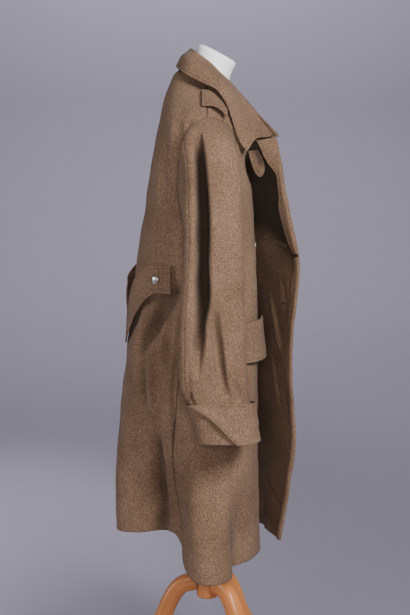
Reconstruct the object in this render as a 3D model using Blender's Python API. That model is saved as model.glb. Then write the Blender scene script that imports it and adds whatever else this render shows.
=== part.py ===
"""A double-breasted wool greatcoat hanging open on a limbless dress form with a bent beech tripod.

Sizes are metres, +Z is up, the coat faces -Y and the wearer's right side is -X. The coat is drawn about
the axis of the stand with the floor at zero; one empty then moves it all so that the middle of the
underside is the origin. Every cloth piece is a wall: its outer points, the same points moved in along
the surface's normals by the thickness of the cloth, and a rim.
"""

import math

import bpy
import numpy as np

# Driving dimensions
CLOTH = 0.0026            # heavy wool cloth of the panels and sleeves
DOUBLE_CLOTH = 0.0030     # collar, cuffs, belt, straps and flaps, sewn from two layers
SEAM_GAP = 0.0003         # space between neighbouring pieces
SLOPE_STEP = 0.012        # step for measuring a surface's slope, about a third of a panel's mesh

HEM_Z = 0.400             # nominal hem above the floor
HEM_FADE_Z = 0.95         # the hem's own curve fades out below this height
ARM_LOW, ARM_TOP = 1.160, 1.410   # underarm point and shoulder point
ARM_Y = -0.005            # the shoulder seam and the underarm point lie here
NECK_POINT_Z = 1.490      # where the shoulder seam meets the collar
NAPE_Z = 1.522            # top of the back at its middle
NAPE_CURVE = 1.6          # how round the back's neckline is
BACK_SQUARE = 2.2         # how square the back's plan is: 2 is an ellipse
FLARE = 1.6               # how late along a front its edge swings away from its plan's own depth

RIGHT, LEFT = "right", "left"
SIGN = {RIGHT: -1.0, LEFT: 1.0}


def table(names, *rows):
    """A short table with named columns, kept as one array for each column."""
    return dict(zip(names.split(), np.array(rows, float).T))


# Plan of the coat's body at each height
BODY = table(
    "z half_width back",
    (0.400, 0.298, 0.209),
    (0.460, 0.284, 0.212),
    (0.550, 0.262, 0.214),
    (0.660, 0.240, 0.207),
    (0.760, 0.225, 0.199),
    (0.860, 0.215, 0.188),
    (0.910, 0.212, 0.180),
    (0.960, 0.209, 0.170),
    (1.030, 0.204, 0.167),
    (1.100, 0.200, 0.158),
    (1.160, 0.196, 0.149),
    (1.250, 0.196, 0.135),
    (1.330, 0.202, 0.122),
    (1.380, 0.2095, 0.1115),
    (1.400, 0.2120, 0.1070),
    (1.410, 0.2080, 0.1050),
    (1.420, 0.1975, 0.1030),
    (1.432, 0.1800, 0.1005),
    (1.450, 0.1520, 0.0960),
    (1.470, 0.1200, 0.0900),
    (1.490, 0.0880, 0.0820),
    (1.507, 0.0700, 0.0750),
    (1.522, 0.0550, 0.0610),
)

# Fronts: their edge (cut edge up to the break, then the roll of the lapel, then the neckline), the depth
# of their plan before the edge swings away from it, and how square that plan is
EDGE = {
    RIGHT: table(
        "z x y deep square",
        (0.400, 0.050, -0.122, 0.135, 2.2),
        (0.550, 0.050, -0.116, 0.134, 2.6),
        (0.700, 0.050, -0.110, 0.133, 3.6),
        (0.850, 0.050, -0.108, 0.132, 4.4),
        (1.000, 0.048, -0.108, 0.131, 4.4),
        (1.080, 0.036, -0.108, 0.1265, 4.0),
        (1.150, 0.000, -0.112, 0.1210, 3.2),
        (1.200, -0.030, -0.111, 0.1140, 2.8),
        (1.250, -0.062, -0.106, 0.1070, 2.5),
        (1.285, -0.082, -0.0955, 0.0965, 2.45),
        (1.310, -0.092, -0.0905, 0.0915, 2.45),
        (1.335, -0.094, -0.0945, 0.0955, 2.2),
        (1.360, -0.089, -0.116, 0.1160, 1.5),
        (1.380, -0.087, -0.1255, 0.1255, 1.25),
        (1.405, -0.086, -0.111, 0.1110, 1.15),
        (1.463, -0.087, -0.060, 0.060, 1.35),
        (1.490, -0.086, -0.016, 0.016, 1.5),
    ),
    LEFT: table(
        "z x y deep square",
        (0.400, -0.064, -0.184, 0.137, 2.2),
        (0.547, -0.062, -0.206, 0.137, 2.5),
        (0.647, -0.060, -0.217, 0.137, 2.8),
        (0.722, -0.058, -0.212, 0.137, 3.0),
        (0.845, -0.056, -0.206, 0.137, 3.0),
        (0.967, -0.055, -0.215, 0.137, 2.9),
        (1.077, -0.050, -0.223, 0.137, 2.6),
        (1.110, -0.038, -0.217, 0.137, 2.5),
        (1.175, -0.008, -0.203, 0.138, 2.3),
        (1.264, 0.028, -0.189, 0.140, 1.8),
        (1.355, 0.068, -0.174, 0.145, 1.3),
        (1.405, 0.085, -0.120, 0.113, 1.15),
        (1.463, 0.087, -0.062, 0.060, 1.35),
        (1.490, 0.086, -0.016, 0.016, 1.5),
    ),
}

# Folds of the skirt, strongest at the hem: place round the body (0 middle back, 1 side, 2 front edge)
SKIRT_FOLDS = {
    RIGHT: table(
        "hem_u top_u spread depth start flat",
        (0.22, 0.24, 0.11, 0.008, 0.78, 2),
        (0.63, 0.68, 0.25, -0.104, 0.84, 3.2),
        (1.01, 0.99, 0.09, 0.018, 0.66, 2),
        (1.22, 1.18, 0.07, -0.034, 0.66, 2),
        (1.45, 1.42, 0.09, 0.010, 0.72, 2),
        (1.70, 1.66, 0.07, -0.010, 0.74, 2),
    ),
    LEFT: table(
        "hem_u top_u spread depth start flat",
        (0.24, 0.22, 0.11, 0.008, 0.76, 2),
        (0.60, 0.64, 0.24, -0.086, 0.82, 3.2),
        (0.98, 0.98, 0.10, 0.018, 0.66, 2),
        (1.20, 1.22, 0.07, -0.020, 0.66, 2),
        (1.42, 1.45, 0.09, 0.014, 0.74, 2),
    ),
}

# Height of the hem round each half of the coat
HEM = table(
    "u z",
    (0.00, 0.425),
    (0.30, 0.434),
    (0.55, 0.448),
    (0.80, 0.405),
    (1.00, 0.378),
    (1.30, 0.382),
    (1.60, 0.396),
    (2.00, 0.402),
)

SIDE_SEAM = table(
    "z u",
    (0.400, 0.72),
    (0.600, 0.74),
    (0.800, 0.82),
    (0.980, 0.88),
    (1.100, 0.96),
    (1.160, 1.017),
)

ARMHOLE = table(
    "z back front",
    (1.160, -0.005, -0.005),
    (1.172, 0.028, -0.038),
    (1.200, 0.050, -0.064),
    (1.250, 0.061, -0.077),
    (1.300, 0.060, -0.077),
    (1.344, 0.043, -0.071),
    (1.381, 0.027, -0.059),
    (1.402, 0.011, -0.036),
    (1.410, -0.005, -0.005),
)

# Sleeve: outer and inner line as seen from the front (x from the middle), and its edges
SLEEVE = table(
    "outer_x outer_z inner_x inner_z front back",
    (0.238, 1.400, 0.206, 1.150, -0.076, 0.060),
    (0.268, 1.372, 0.214, 1.136, -0.079, 0.056),
    (0.291, 1.325, 0.220, 1.112, -0.081, 0.050),
    (0.307, 1.250, 0.226, 1.072, -0.083, 0.046),
    (0.319, 1.150, 0.232, 1.020, -0.084, 0.045),
    (0.328, 1.040, 0.238, 0.955, -0.086, 0.050),
    (0.334, 0.930, 0.243, 0.883, -0.089, 0.056),
    (0.338, 0.840, 0.247, 0.816, -0.095, 0.055),
    (0.340, 0.770, 0.249, 0.760, -0.104, 0.024),
    (0.341, 0.706, 0.250, 0.703, -0.114, 0.013),
)
SLEEVE_SQUARE = 2.5
ARMHOLE_BLEND = 2.0       # sections over which the armhole's outline turns into the sleeve's own
SLEEVE_STANDOFF = 0.0024  # the sleeve head starts this far outside the armhole
UNDERARM_STANDOFF = 0.0045  # and this much further out under the arm

# Hollows pressed into the outside of the sleeve, followed down its length
SLEEVE_FOLDS = (
    table(
        "z y depth spread",
        (0.850, 0.019, 0.000, 0.010),
        (0.890, 0.015, 0.014, 0.012),
        (0.964, 0.006, 0.033, 0.015),
        (1.023, 0.000, 0.046, 0.017),
        (1.168, 0.000, 0.048, 0.018),
        (1.300, 0.006, 0.040, 0.015),
        (1.350, 0.012, 0.020, 0.012),
        (1.385, 0.018, 0.000, 0.010),
    ),
    table(
        "z y depth spread",
        (0.805, -0.042, 0.000, 0.014),
        (0.850, -0.036, 0.009, 0.014),
        (0.900, -0.030, 0.011, 0.014),
        (1.010, -0.020, 0.000, 0.013),
    ),
)
BACK_SEAM_TURN, FRONT_SEAM_TURN = 135.0, -42.0   # degrees round the sleeve, 0 in front, 90 outside

# Cuff: turned back, closed by a slanted edge that overlaps an under layer
CUFF_TOP_ROW, CUFF_LOW_ROW = 7.62, 8.985
CUFF_EDGE_TOP, CUFF_EDGE_LOW, CUFF_UNDER = 134.0, 74.0, 58.0
CUFF_OUT, CUFF_IN = 0.0090, 0.0046
CUFF_STAND_OFF = 0.0040   # the free top edge stands out this much more
CUFF_ROWS, CUFF_COLUMNS = 4, 30

# Collar: neck seam, fold and outer edge from the middle back (0) to the front end (1), wearer's side
COLLAR = table(
    "s seam_x seam_y seam_z fold_x fold_y fold_z edge_x edge_y edge_z",
    (0.00, 0.000, 0.0555, 1.5255, 0.000, 0.033, 1.571, 0.000, 0.0680, 1.529),
    (0.22, 0.043, 0.0350, 1.5220, 0.042, 0.021, 1.560, 0.075, 0.0460, 1.509),
    (0.42, 0.069, -0.0030, 1.5070, 0.066, -0.012, 1.535, 0.120, 0.0045, 1.4865),
    (0.52, 0.075, -0.0300, 1.4890, 0.070, -0.037, 1.511, 0.143, -0.0257, 1.4715),
    (0.62, 0.079, -0.0570, 1.4690, 0.074, -0.062, 1.487, 0.163, -0.0515, 1.4365),
    (0.83, 0.078, -0.1070, 1.4140, 0.078, -0.110, 1.426, 0.175, -0.0793, 1.3580),
    (1.00, 0.066, -0.1490, 1.3640, 0.074, -0.154, 1.374, 0.168, -0.0940, 1.3350),
)
COLLAR_LEFT_FORWARD = -0.036   # the left end stands further forward, with its front
COLLAR_ROLL = 0.0075           # radius of the fold
COLLAR_COLUMNS = 25
COLLAR_ROWS = (0, 0.12, 0.24, 0.30, 0.36, 0.42, 0.48, 0.60, 0.72, 0.86, 1.0)   # seam to outer edge
COLLAR_FULLNESS, COLLAR_BACK_FULLNESS = 1.3, 0.6   # how far the fall bows out, in rolls

# Right lapel: a tongue that hangs from under the collar's end, its two edges from the top to the tip
LAPEL_RIGHT = table(
    "back_y back_z front_y front_z x",
    (-0.0975, 1.3330, -0.1180, 1.3360, -0.146),
    (-0.1030, 1.3120, -0.1290, 1.3150, -0.142),
    (-0.1100, 1.2930, -0.1340, 1.2960, -0.136),
    (-0.1190, 1.2740, -0.1330, 1.2770, -0.128),
)
LAPEL_TURN = 0.004        # its back edge lies this much nearer the middle
# Left lapel: rolled inwards over the front's inner face, with the width seen from its roll to its edge
LAPEL_LEFT = table(
    "z width",
    (1.092, 0.012),
    (1.140, 0.020),
    (1.195, 0.022),
    (1.228, 0.013),
    (1.268, 0.010),
    (1.300, 0.020),
    (1.338, 0.036),
)
LAPEL_RADIUS, LAPEL_BEND = 0.0065, 165.0
LAPEL_ROWS, LAPEL_COLUMNS = 9, 5

# Shoulder strap: lies along the shoulder seam and bends down over the front of the shoulder
STRAP_IN_X, STRAP_OUT_X = 0.130, 0.188
STRAP_BACK_Y, STRAP_FRONT_Y, STRAP_BEND_Y = 0.006, -0.050, -0.012
STRAP_LIFT, STRAP_END_LIFT, STRAP_DROP = 0.0075, 0.0090, 0.0225
STRAP_ROWS, STRAP_COLUMNS = 6, 7

# Half-belt: its middle line from the right-hand end round the back to the left-hand end
BELT = table(
    "x y z lean",
    (-0.193, 0.0790, 1.047, 0.00),
    (-0.168, 0.1140, 1.046, 0.00),
    (-0.140, 0.1440, 1.028, 0.04),
    (-0.098, 0.1710, 0.978, 0.10),
    (-0.050, 0.1850, 0.925, 0.12),
    (0.000, 0.1895, 0.906, 0.10),
    (0.050, 0.1915, 0.935, 0.05),
    (0.098, 0.1850, 0.990, 0.00),
    (0.140, 0.1520, 1.030, 0.00),
    (0.168, 0.1160, 1.046, 0.00),
    (0.193, 0.0790, 1.047, 0.00),
)
BELT_WIDTH = 0.062
BELT_ROWS, BELT_COLUMNS = 4, 25
BELT_BUTTON_X = 0.170

FLAP_TOP_Z, FLAP_LOW_Z = 0.953, 0.862
FLAP_BACK_U, FLAP_FRONT_U = 0.95, 1.48
FLAP_LIFT, FLAP_FRONT_LIFT = 0.0042, 0.0200
FLAP_ROWS, FLAP_COLUMNS = 4, 10

BUTTON_HEIGHTS = (1.110, 0.970, 0.830)
BUTTON_X = {RIGHT: 0.030, LEFT: 0.088}
FRONT_BUTTON_RADIUS, BELT_BUTTON_RADIUS = 0.0125, 0.0100
BUTTON_SIDES = 8

# Dress form, from the underside of the hips to the neck
FORM = table(
    "z half_width back front slope",
    (0.862, 0.070, 0.048, -0.046, 0.00),
    (0.866, 0.110, 0.075, -0.071, 0.00),
    (0.885, 0.140, 0.095, -0.088, 0.00),
    (0.930, 0.156, 0.107, -0.097, 0.00),
    (0.980, 0.158, 0.110, -0.098, 0.00),
    (1.050, 0.144, 0.100, -0.089, 0.00),
    (1.150, 0.148, 0.101, -0.086, 0.00),
    (1.250, 0.158, 0.105, -0.086, 0.00),
    (1.320, 0.164, 0.103, -0.083, 0.00),
    (1.370, 0.168, 0.096, -0.079, 0.00),
    (1.400, 0.170, 0.088, -0.073, 0.00),
    (1.418, 0.163, 0.082, -0.069, 0.00),
    (1.434, 0.146, 0.076, -0.066, 0.00),
    (1.448, 0.122, 0.069, -0.062, 0.00),
    (1.464, 0.094, 0.061, -0.058, 0.00),
    (1.480, 0.070, 0.053, -0.057, 0.05),
    (1.500, 0.057, 0.043, -0.057, 0.15),
    (1.530, 0.0510, 0.029, -0.063, 0.32),
    (1.552, 0.0485, 0.016, -0.071, 0.48),
    (1.5590, 0.0475, 0.0125, -0.0730, 0.52),
)
FORM_SIDES, TURNED_SIDES = 20, 16

POLE_RADIUS = 0.0135
HUB_RADIUS, HUB_LOW, HUB_TOP, HUB_SOFTEN = 0.027, 0.235, 0.308, 0.006
STAND_Y = -0.006          # the pole stands this far ahead of the axis the coat is drawn about
LEG_TURNS = (90.0, -44.0, 224.0)      # degrees from the wearer's right towards the back
LEG_WIDTH, LEG_DEPTH = 0.036, 0.042
LEG = table(
    "reach z lean",
    (0.0276, 0.274, 0),
    (0.052, 0.270, 12),
    (0.074, 0.255, 38),
    (0.091, 0.228, 56),
    (0.113, 0.178, 62),
    (0.166, 0.092, 61),
    (0.212, 0.018, 70),
    (0.220, 0.000, 90),
)

# Heights of the panels' rows
SKIRT_ROWS = (0.40, 0.45, 0.51, 0.57, 0.63, 0.69, 0.75, 0.81, 0.88, 0.95, 1.02, 1.09, 1.13, 1.16)
ARM_ROWS = (1.168, 1.190, 1.225, 1.270, 1.315, 1.355, 1.385, 1.402, 1.410)
SHOULDER_STEPS = (0.13, 0.28, 0.46, 0.64, 0.82, 1.0)
BACK_COLUMNS, FRONT_COLUMNS = 15, 17
SLEEVE_ROWS, PLAIN_COLUMNS, GROOVE_COLUMNS, UNDER_COLUMNS = 17, 11, 10, 10
FOLD_FADE = 0.4           # the hollows fade out towards the sleeve's front and back
FOLD_FLAT = 4             # how flat the hollows' floors are: 2 is round
GROOVE_TURN = 84.0        # the sleeve's mesh is finer from here to the back seam

WOOL = ("wool", (0.205, 0.150, 0.105), 0.95, 0.0)
METAL = ("button_metal", (0.55, 0.54, 0.52), 0.35, 1.0)
COVER = ("form_cover", (0.80, 0.80, 0.78), 0.60, 0.0)
BEECH = ("beech", (0.72, 0.34, 0.14), 0.45, 0.0)


def along(knots, values, at):
    """A smooth curve with no overshoot through a table's values."""
    step = np.diff(knots)
    slope = np.diff(values) / step
    before, after = slope[:-1], slope[1:]
    same_way = before * after > 0
    tangent = np.empty(len(knots))
    tangent[0], tangent[-1] = slope[0], slope[-1]
    tangent[1:-1] = np.where(same_way, 2 * before * after / np.where(same_way, before + after, 1), 0)
    at = np.clip(at, knots[0], knots[-1])
    k = np.clip(np.searchsorted(knots, at, side="right") - 1, 0, len(step) - 1)
    t = (at - knots[k]) / step[k]
    return (
        (1 + 2 * t) * (1 - t) ** 2 * values[k]
        + t * (1 - t) ** 2 * step[k] * tangent[k]
        + t * t * (3 - 2 * t) * values[k + 1]
        + t * t * (t - 1) * step[k] * tangent[k + 1]
    )


def ease(t):
    """0 to 1 with a soft start and end."""
    t = np.clip(t, 0, 1)
    return t * t * (3 - 2 * t)


def unit(vectors):
    return vectors / np.linalg.norm(vectors, axis=-1, keepdims=True)


def superellipse(angle, along_x, along_y, square):
    """Distance from the middle to a superellipse, at an angle from its x axis."""
    x_part = np.abs(np.cos(angle) / along_x) ** square
    y_part = np.abs(np.sin(angle) / along_y) ** square
    return (x_part + y_part) ** (-1 / square)


def plan(side, u, z):
    """The outline at a height, without folds: u is 0 at the middle back, 1 at the side, 2 in front."""
    sign, edge = SIGN[side], EDGE[side]
    half = along(BODY["z"], BODY["half_width"], z)
    back = along(BODY["z"], BODY["back"], z)
    edge_x = sign * along(edge["z"], edge["x"], z)
    edge_y = -along(edge["z"], edge["y"], z)
    deep, square = along(edge["z"], edge["deep"], z), along(edge["z"], edge["square"], z)
    angle = (1 - np.minimum(u, 1)) * math.pi / 2
    reach = superellipse(angle, half, back, BACK_SQUARE)
    turn = np.maximum(u - 1, 0)
    front_angle = turn * math.pi / 2
    front_reach = superellipse(front_angle, half - edge_x, deep, square)
    behind = u <= 1
    x = np.where(behind, reach * np.cos(angle), edge_x + front_reach * np.cos(front_angle))
    swing = (edge_y - deep) * turn**FLARE
    y = np.where(behind, reach * np.sin(angle), -front_reach * np.sin(front_angle) - swing)
    return sign * x, y


def body(side, u, z):
    """A point of the coat's outer face, folds and hem curve included."""
    u, z = np.broadcast_arrays(np.asarray(u, float), np.asarray(z, float))
    x, y = plan(side, u, z)
    ahead = np.array(plan(side, u + SLOPE_STEP, z))
    behind = np.array(plan(side, u - SLOPE_STEP, z))
    tangent = unit(np.moveaxis(ahead - behind, 0, -1))
    drop = np.clip((HEM_FADE_Z - z) / (HEM_FADE_Z - HEM_Z), 0, 1)
    moved = np.zeros_like(x)
    folds = SKIRT_FOLDS[side]
    for hem_u, top_u, spread, depth, start, flat in zip(*folds.values()):
        grown = ease((start - z) / (start - HEM_Z))
        middle = top_u + (hem_u - top_u) * grown
        moved = moved + depth * grown * np.exp(-(np.abs((u - middle) / spread) ** flat))
    x = x - SIGN[side] * tangent[..., 1] * moved
    y = y + SIGN[side] * tangent[..., 0] * moved
    low = z + (along(HEM["u"], HEM["z"], u) - HEM_Z) * drop**2
    return np.stack([x, y, low], axis=-1)


def normals_of(surface, u, v):
    """Unit normals of a surface given as a function of two values."""
    across = surface(u + SLOPE_STEP, v) - surface(u - SLOPE_STEP, v)
    upward = surface(u, v + SLOPE_STEP) - surface(u, v - SLOPE_STEP)
    return unit(np.cross(across, upward))


def body_normals(side, u, z):
    return -SIGN[side] * normals_of(lambda a, b: body(side, a, b), u, z)


def u_at_y(side, y, z):
    """Where round the body a height has this y."""
    places = np.linspace(0, 2, 401)
    _, found = plan(side, places, np.full_like(places, z))
    return np.interp(-y, -found, places)


def seam_pull(side, u, z):
    """Half a seam gap, as a step round the body."""
    stretch = np.linalg.norm(body(side, u + SLOPE_STEP, z) - body(side, u - SLOPE_STEP, z))
    return 0.5 * SEAM_GAP * 2 * SLOPE_STEP / stretch


def panel_end(side, z, piece):
    """Where a back or front panel ends on its side: side seam, then armhole, then shoulder seam."""
    if z < ARM_LOW:
        u = along(SIDE_SEAM["z"], SIDE_SEAM["u"], np.array(z))
    elif z < ARM_TOP:
        u = u_at_y(side, along(ARMHOLE["z"], ARMHOLE[piece], np.array(z)), z)
    else:
        u = u_at_y(side, ARM_Y, z)
    pull = seam_pull(side, u, z)
    return u - pull if piece == "back" else u + pull


def panel_heights():
    """Nominal heights of a panel's rows up to the neck point."""
    shoulder = [ARM_TOP + step * (NECK_POINT_Z - ARM_TOP) for step in SHOULDER_STEPS]
    return list(SKIRT_ROWS) + list(ARM_ROWS) + shoulder


def back_half(side):
    """Places round the body and heights of the back's points, from the middle to its side end."""
    places, heights = [], []
    for z in panel_heights():
        end = panel_end(side, z, "back")
        u = np.linspace(0, 1, BACK_COLUMNS + 1) * end
        rise = max(z - ARM_TOP, 0) / (NECK_POINT_Z - ARM_TOP)
        places.append(u)
        heights.append(z + rise * (NAPE_Z - NECK_POINT_Z) * (1 - (u / end) ** NAPE_CURVE))
    return np.array(places), np.array(heights)


def front_grid(side):
    """Places round the body and heights of a front's points, from its side end to its edge."""
    places, heights = [], []
    for z in panel_heights():
        end = panel_end(side, z, "front")
        places.append(np.linspace(end, 2.0, FRONT_COLUMNS + 1))
        heights.append(np.full(FRONT_COLUMNS + 1, z))
    return np.array(places), np.array(heights)


def armhole(side, turn):
    """The armhole's outline, turn in degrees: 0 in front, 90 at the shoulder, -90 under the arm."""
    angle = np.radians(turn)
    z = (ARM_TOP + ARM_LOW) / 2 + (ARM_TOP - ARM_LOW) / 2 * np.sin(angle)
    y = np.where(
        np.cos(angle) < 0,
        along(ARMHOLE["z"], ARMHOLE["back"], z),
        along(ARMHOLE["z"], ARMHOLE["front"], z),
    )
    u = np.array([u_at_y(side, *pair) for pair in zip(y.ravel(), z.ravel())]).reshape(y.shape)
    x, _ = plan(side, u, z)
    out = SLEEVE_STANDOFF + UNDERARM_STANDOFF * ease(-0.3 - np.sin(angle) * 1.3)
    return np.stack([x + SIGN[side] * out, y, z], axis=-1)


def sleeve(side, turn, row):
    """The sleeve's outer face: turn in degrees round it, row down its table (-1 is the armhole)."""
    turn, row = np.broadcast_arrays(np.asarray(turn, float), np.asarray(row, float))
    knots = np.arange(len(SLEEVE["front"]), dtype=float)
    at = {name: along(knots, values, row) for name, values in SLEEVE.items()}
    angle = np.radians(turn)
    reach = superellipse(angle, 1.0, 1.0, SLEEVE_SQUARE)
    forward, outward = reach * np.cos(angle), reach * np.sin(angle)
    x = (at["outer_x"] + at["inner_x"]) / 2 + (at["outer_x"] - at["inner_x"]) / 2 * outward
    z = (at["outer_z"] + at["inner_z"]) / 2 + (at["outer_z"] - at["inner_z"]) / 2 * outward
    y = (at["front"] + at["back"]) / 2 + (at["front"] - at["back"]) / 2 * forward
    own = np.stack([SIGN[side] * x, y, z], axis=-1)
    share = ease((row + 1) / ARMHOLE_BLEND)[..., None]
    points = armhole(side, turn) * (1 - share) + own * share
    outside = ease(np.sin(angle) / FOLD_FADE)
    pressed = np.zeros_like(x)
    for fold in SLEEVE_FOLDS:
        middle = along(fold["z"], fold["y"], points[..., 2])
        depth = along(fold["z"], fold["depth"], points[..., 2])
        spread = along(fold["z"], fold["spread"], points[..., 2])
        pressed = pressed + depth * np.exp(-(((points[..., 1] - middle) / spread) ** FOLD_FLAT))
    points[..., 0] -= SIGN[side] * pressed * outside * share[..., 0]
    return points


def sleeve_normals(side, turn, row):
    """Outward normals; near the armhole they are taken a little way down the sleeve."""
    step, swing = 0.15, 4.0
    low = np.clip(row, -1 + step, len(SLEEVE["front"]) - 1 - step)
    around = sleeve(side, turn + swing, row) - sleeve(side, turn - swing, row)
    down = sleeve(side, turn, low + step) - sleeve(side, turn, low - step)
    return -SIGN[side] * unit(np.cross(around, down))


def collar_point(s, t):
    """The collar's face: s from the right end (-1) to the left (1), t from neck seam to outer edge."""
    s, t = np.broadcast_arrays(np.asarray(s, float), np.asarray(t, float))
    at = {name: along(COLLAR["s"], values, np.abs(s)) for name, values in COLLAR.items()}
    ahead = np.where(s > 0, COLLAR_LEFT_FORWARD * np.maximum(s - 0.3, 0) ** 1.5, 0)

    def line(name):
        return np.stack([np.sign(s) * at[name + "_x"], at[name + "_y"] + ahead, at[name + "_z"]], axis=-1)

    seam, fold, edge = line("seam"), line("fold"), line("edge")
    out = edge - seam
    out[..., 2] = 0
    out = COLLAR_ROLL * unit(out)
    up = np.array([0.0, 0.0, COLLAR_ROLL])
    full = COLLAR_BACK_FULLNESS + (COLLAR_FULLNESS - COLLAR_BACK_FULLNESS) * ease(np.abs(s) / 0.4)
    bowed = 0.5 * (fold + edge) + full[..., None] * (out + up)
    stops = [seam, fold - out - up, fold, fold + out - 0.8 * up, bowed, edge]
    knots = np.array([0.0, 0.24, 0.36, 0.48, 0.72, 1.0])
    stack = np.stack(stops)
    points = np.empty(s.shape + (3,))
    for place in np.ndindex(s.shape):
        for axis in range(3):
            points[place + (axis,)] = along(knots, stack[(slice(None),) + place + (axis,)], t[place])
    return points


def make_material(spec):
    name, colour, roughness, metallic = spec
    if name in bpy.data.materials:
        return bpy.data.materials[name]
    material = bpy.data.materials.new(name)
    material.use_nodes = True
    shader = material.node_tree.nodes["Principled BSDF"]
    shader.inputs["Base Color"].default_value = (*colour, 1.0)
    shader.inputs["Roughness"].default_value = roughness
    shader.inputs["Metallic"].default_value = metallic
    return material


def add_mesh(name, points, faces, spec, parent):
    """One closed object, with its faces turned outwards."""
    points = np.asarray(points, float)
    volume = 0.0
    for face in faces:
        corner = points[list(face)]
        for k in range(1, len(face) - 1):
            volume += np.dot(corner[0], np.cross(corner[k], corner[k + 1]))
    if volume < 0:
        faces = [tuple(reversed(face)) for face in faces]
    mesh = bpy.data.meshes.new(name)
    mesh.from_pydata(points.tolist(), [], [tuple(face) for face in faces])
    mesh.shade_smooth()
    mesh.set_sharp_from_angle(angle=math.radians(40))
    part = bpy.data.objects.new(name, mesh)
    part.data.materials.append(make_material(spec))
    part.parent = parent
    bpy.context.collection.objects.link(part)
    return part


def add_wall(name, outer, normals, thickness, parent, spec=WOOL):
    """A cloth wall from a grid of outer points: outer face, inner face and rim."""
    rows, columns = outer.shape[:2]
    inner = outer - thickness * normals
    points = np.concatenate([outer.reshape(-1, 3), inner.reshape(-1, 3)])
    under = rows * columns

    def at(row, column):
        return row * columns + column

    faces = []
    for row in range(rows - 1):
        for column in range(columns - 1):
            ring = (at(row, column), at(row, column + 1), at(row + 1, column + 1), at(row + 1, column))
            faces.append(ring)
            faces.append(tuple(under + k for k in reversed(ring)))
    border = [at(0, c) for c in range(columns)]
    border += [at(r, columns - 1) for r in range(1, rows)]
    border += [at(rows - 1, c) for c in range(columns - 2, -1, -1)]
    border += [at(r, 0) for r in range(rows - 2, 0, -1)]
    for here, there in zip(border, border[1:] + border[:1]):
        faces.append((there, here, under + here, under + there))
    return add_mesh(name, points, faces, spec, parent)


def add_rings(name, rings, spec, parent):
    """A closed solid through rings of points, with flat ends."""
    count, sides = len(rings), len(rings[0])
    points = np.concatenate(rings)
    faces = [
        (r * sides + k, r * sides + (k + 1) % sides, (r + 1) * sides + (k + 1) % sides, (r + 1) * sides + k)
        for r in range(count - 1)
        for k in range(sides)
    ]
    faces.append(tuple(reversed(range(sides))))
    faces.append(tuple(range((count - 1) * sides, count * sides)))
    return add_mesh(name, points, faces, spec, parent)


def add_back(parent):
    left_u, left_z = back_half(LEFT)
    right_u, right_z = back_half(RIGHT)
    left = body(LEFT, left_u, left_z)
    right = body(RIGHT, right_u, right_z)
    left_normals = body_normals(LEFT, left_u, left_z)
    right_normals = body_normals(RIGHT, right_u, right_z)
    left[:, 0] = right[:, 0]
    left_normals[:, 0] = right_normals[:, 0] = unit(left_normals[:, 0] + right_normals[:, 0])
    outer = np.concatenate([right[:, ::-1], left[:, 1:]], axis=1)
    normals = np.concatenate([right_normals[:, ::-1], left_normals[:, 1:]], axis=1)
    add_wall("back", outer, normals, CLOTH, parent)


def add_front(side, parent):
    u, z = front_grid(side)
    add_wall(f"front_{side}", body(side, u, z), body_normals(side, u, z), CLOTH, parent)


def add_lapel_right(parent):
    s = np.linspace(0, 1, LAPEL_ROWS)
    knots = np.linspace(0, 1, len(LAPEL_RIGHT["x"]))
    at = {name: along(knots, values, s)[:, None] for name, values in LAPEL_RIGHT.items()}
    w = np.linspace(0, 1, LAPEL_COLUMNS)[None, :]
    x = at["x"] + LAPEL_TURN * (1 - w)
    y = at["back_y"] + (at["front_y"] - at["back_y"]) * w
    z = at["back_z"] + (at["front_z"] - at["back_z"]) * w
    outer = np.stack(np.broadcast_arrays(x, y, z), axis=-1)
    normals = unit(np.cross(np.gradient(outer, axis=1), np.gradient(outer, axis=0)))
    add_wall("lapel_right", outer, normals * -np.sign(normals[..., :1]), CLOTH, parent)


def add_lapel_left(parent):
    """Starts at the front's edge, turns round its roll and runs back inside the front."""
    z = np.linspace(LAPEL_LEFT["z"][0], LAPEL_LEFT["z"][-1], LAPEL_ROWS)
    edge = body(LEFT, np.full_like(z, 2.0), z)
    ahead = unit(edge - body(LEFT, np.full_like(z, 2.0 - SLOPE_STEP), z))
    inward = -body_normals(LEFT, np.full_like(z, 2.0), z)
    edge = edge + SEAM_GAP * ahead
    width = along(LAPEL_LEFT["z"], LAPEL_LEFT["width"], z)
    outer, normals = [], []
    for bend in np.radians(np.linspace(0, LAPEL_BEND, LAPEL_COLUMNS)):
        normal = np.sin(bend) * ahead - np.cos(bend) * inward
        outer.append(edge + LAPEL_RADIUS * (inward + normal))
        normals.append(normal)
    bend = math.radians(LAPEL_BEND)
    back = math.cos(bend) * ahead + math.sin(bend) * inward
    for share in (0.5, 1.0):
        outer.append(outer[LAPEL_COLUMNS - 1] + share * width[:, None] * back)
        normals.append(normals[LAPEL_COLUMNS - 1])
    add_wall("lapel_left", np.stack(outer, axis=1), np.stack(normals, axis=1), CLOTH, parent)


def add_sleeve(side, parent):
    rows = np.linspace(-1, len(SLEEVE["front"]) - 1, SLEEVE_ROWS)[:, None]
    pull = math.degrees(SEAM_GAP / 0.06)
    plain = np.linspace(FRONT_SEAM_TURN + pull, GROOVE_TURN, PLAIN_COLUMNS + 1)[:-1]
    grooved = np.linspace(GROOVE_TURN, BACK_SEAM_TURN - pull, GROOVE_COLUMNS + 1)
    top = np.concatenate([plain, grooved])[None, :]
    under = np.linspace(BACK_SEAM_TURN + pull, 360 + FRONT_SEAM_TURN - pull, UNDER_COLUMNS + 1)[None, :]
    for piece, turn in (("top", top), ("under", under)):
        outer = sleeve(side, turn, rows)
        add_wall(f"sleeve_{piece}_{side}", outer, sleeve_normals(side, turn, rows), CLOTH, parent)


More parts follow.
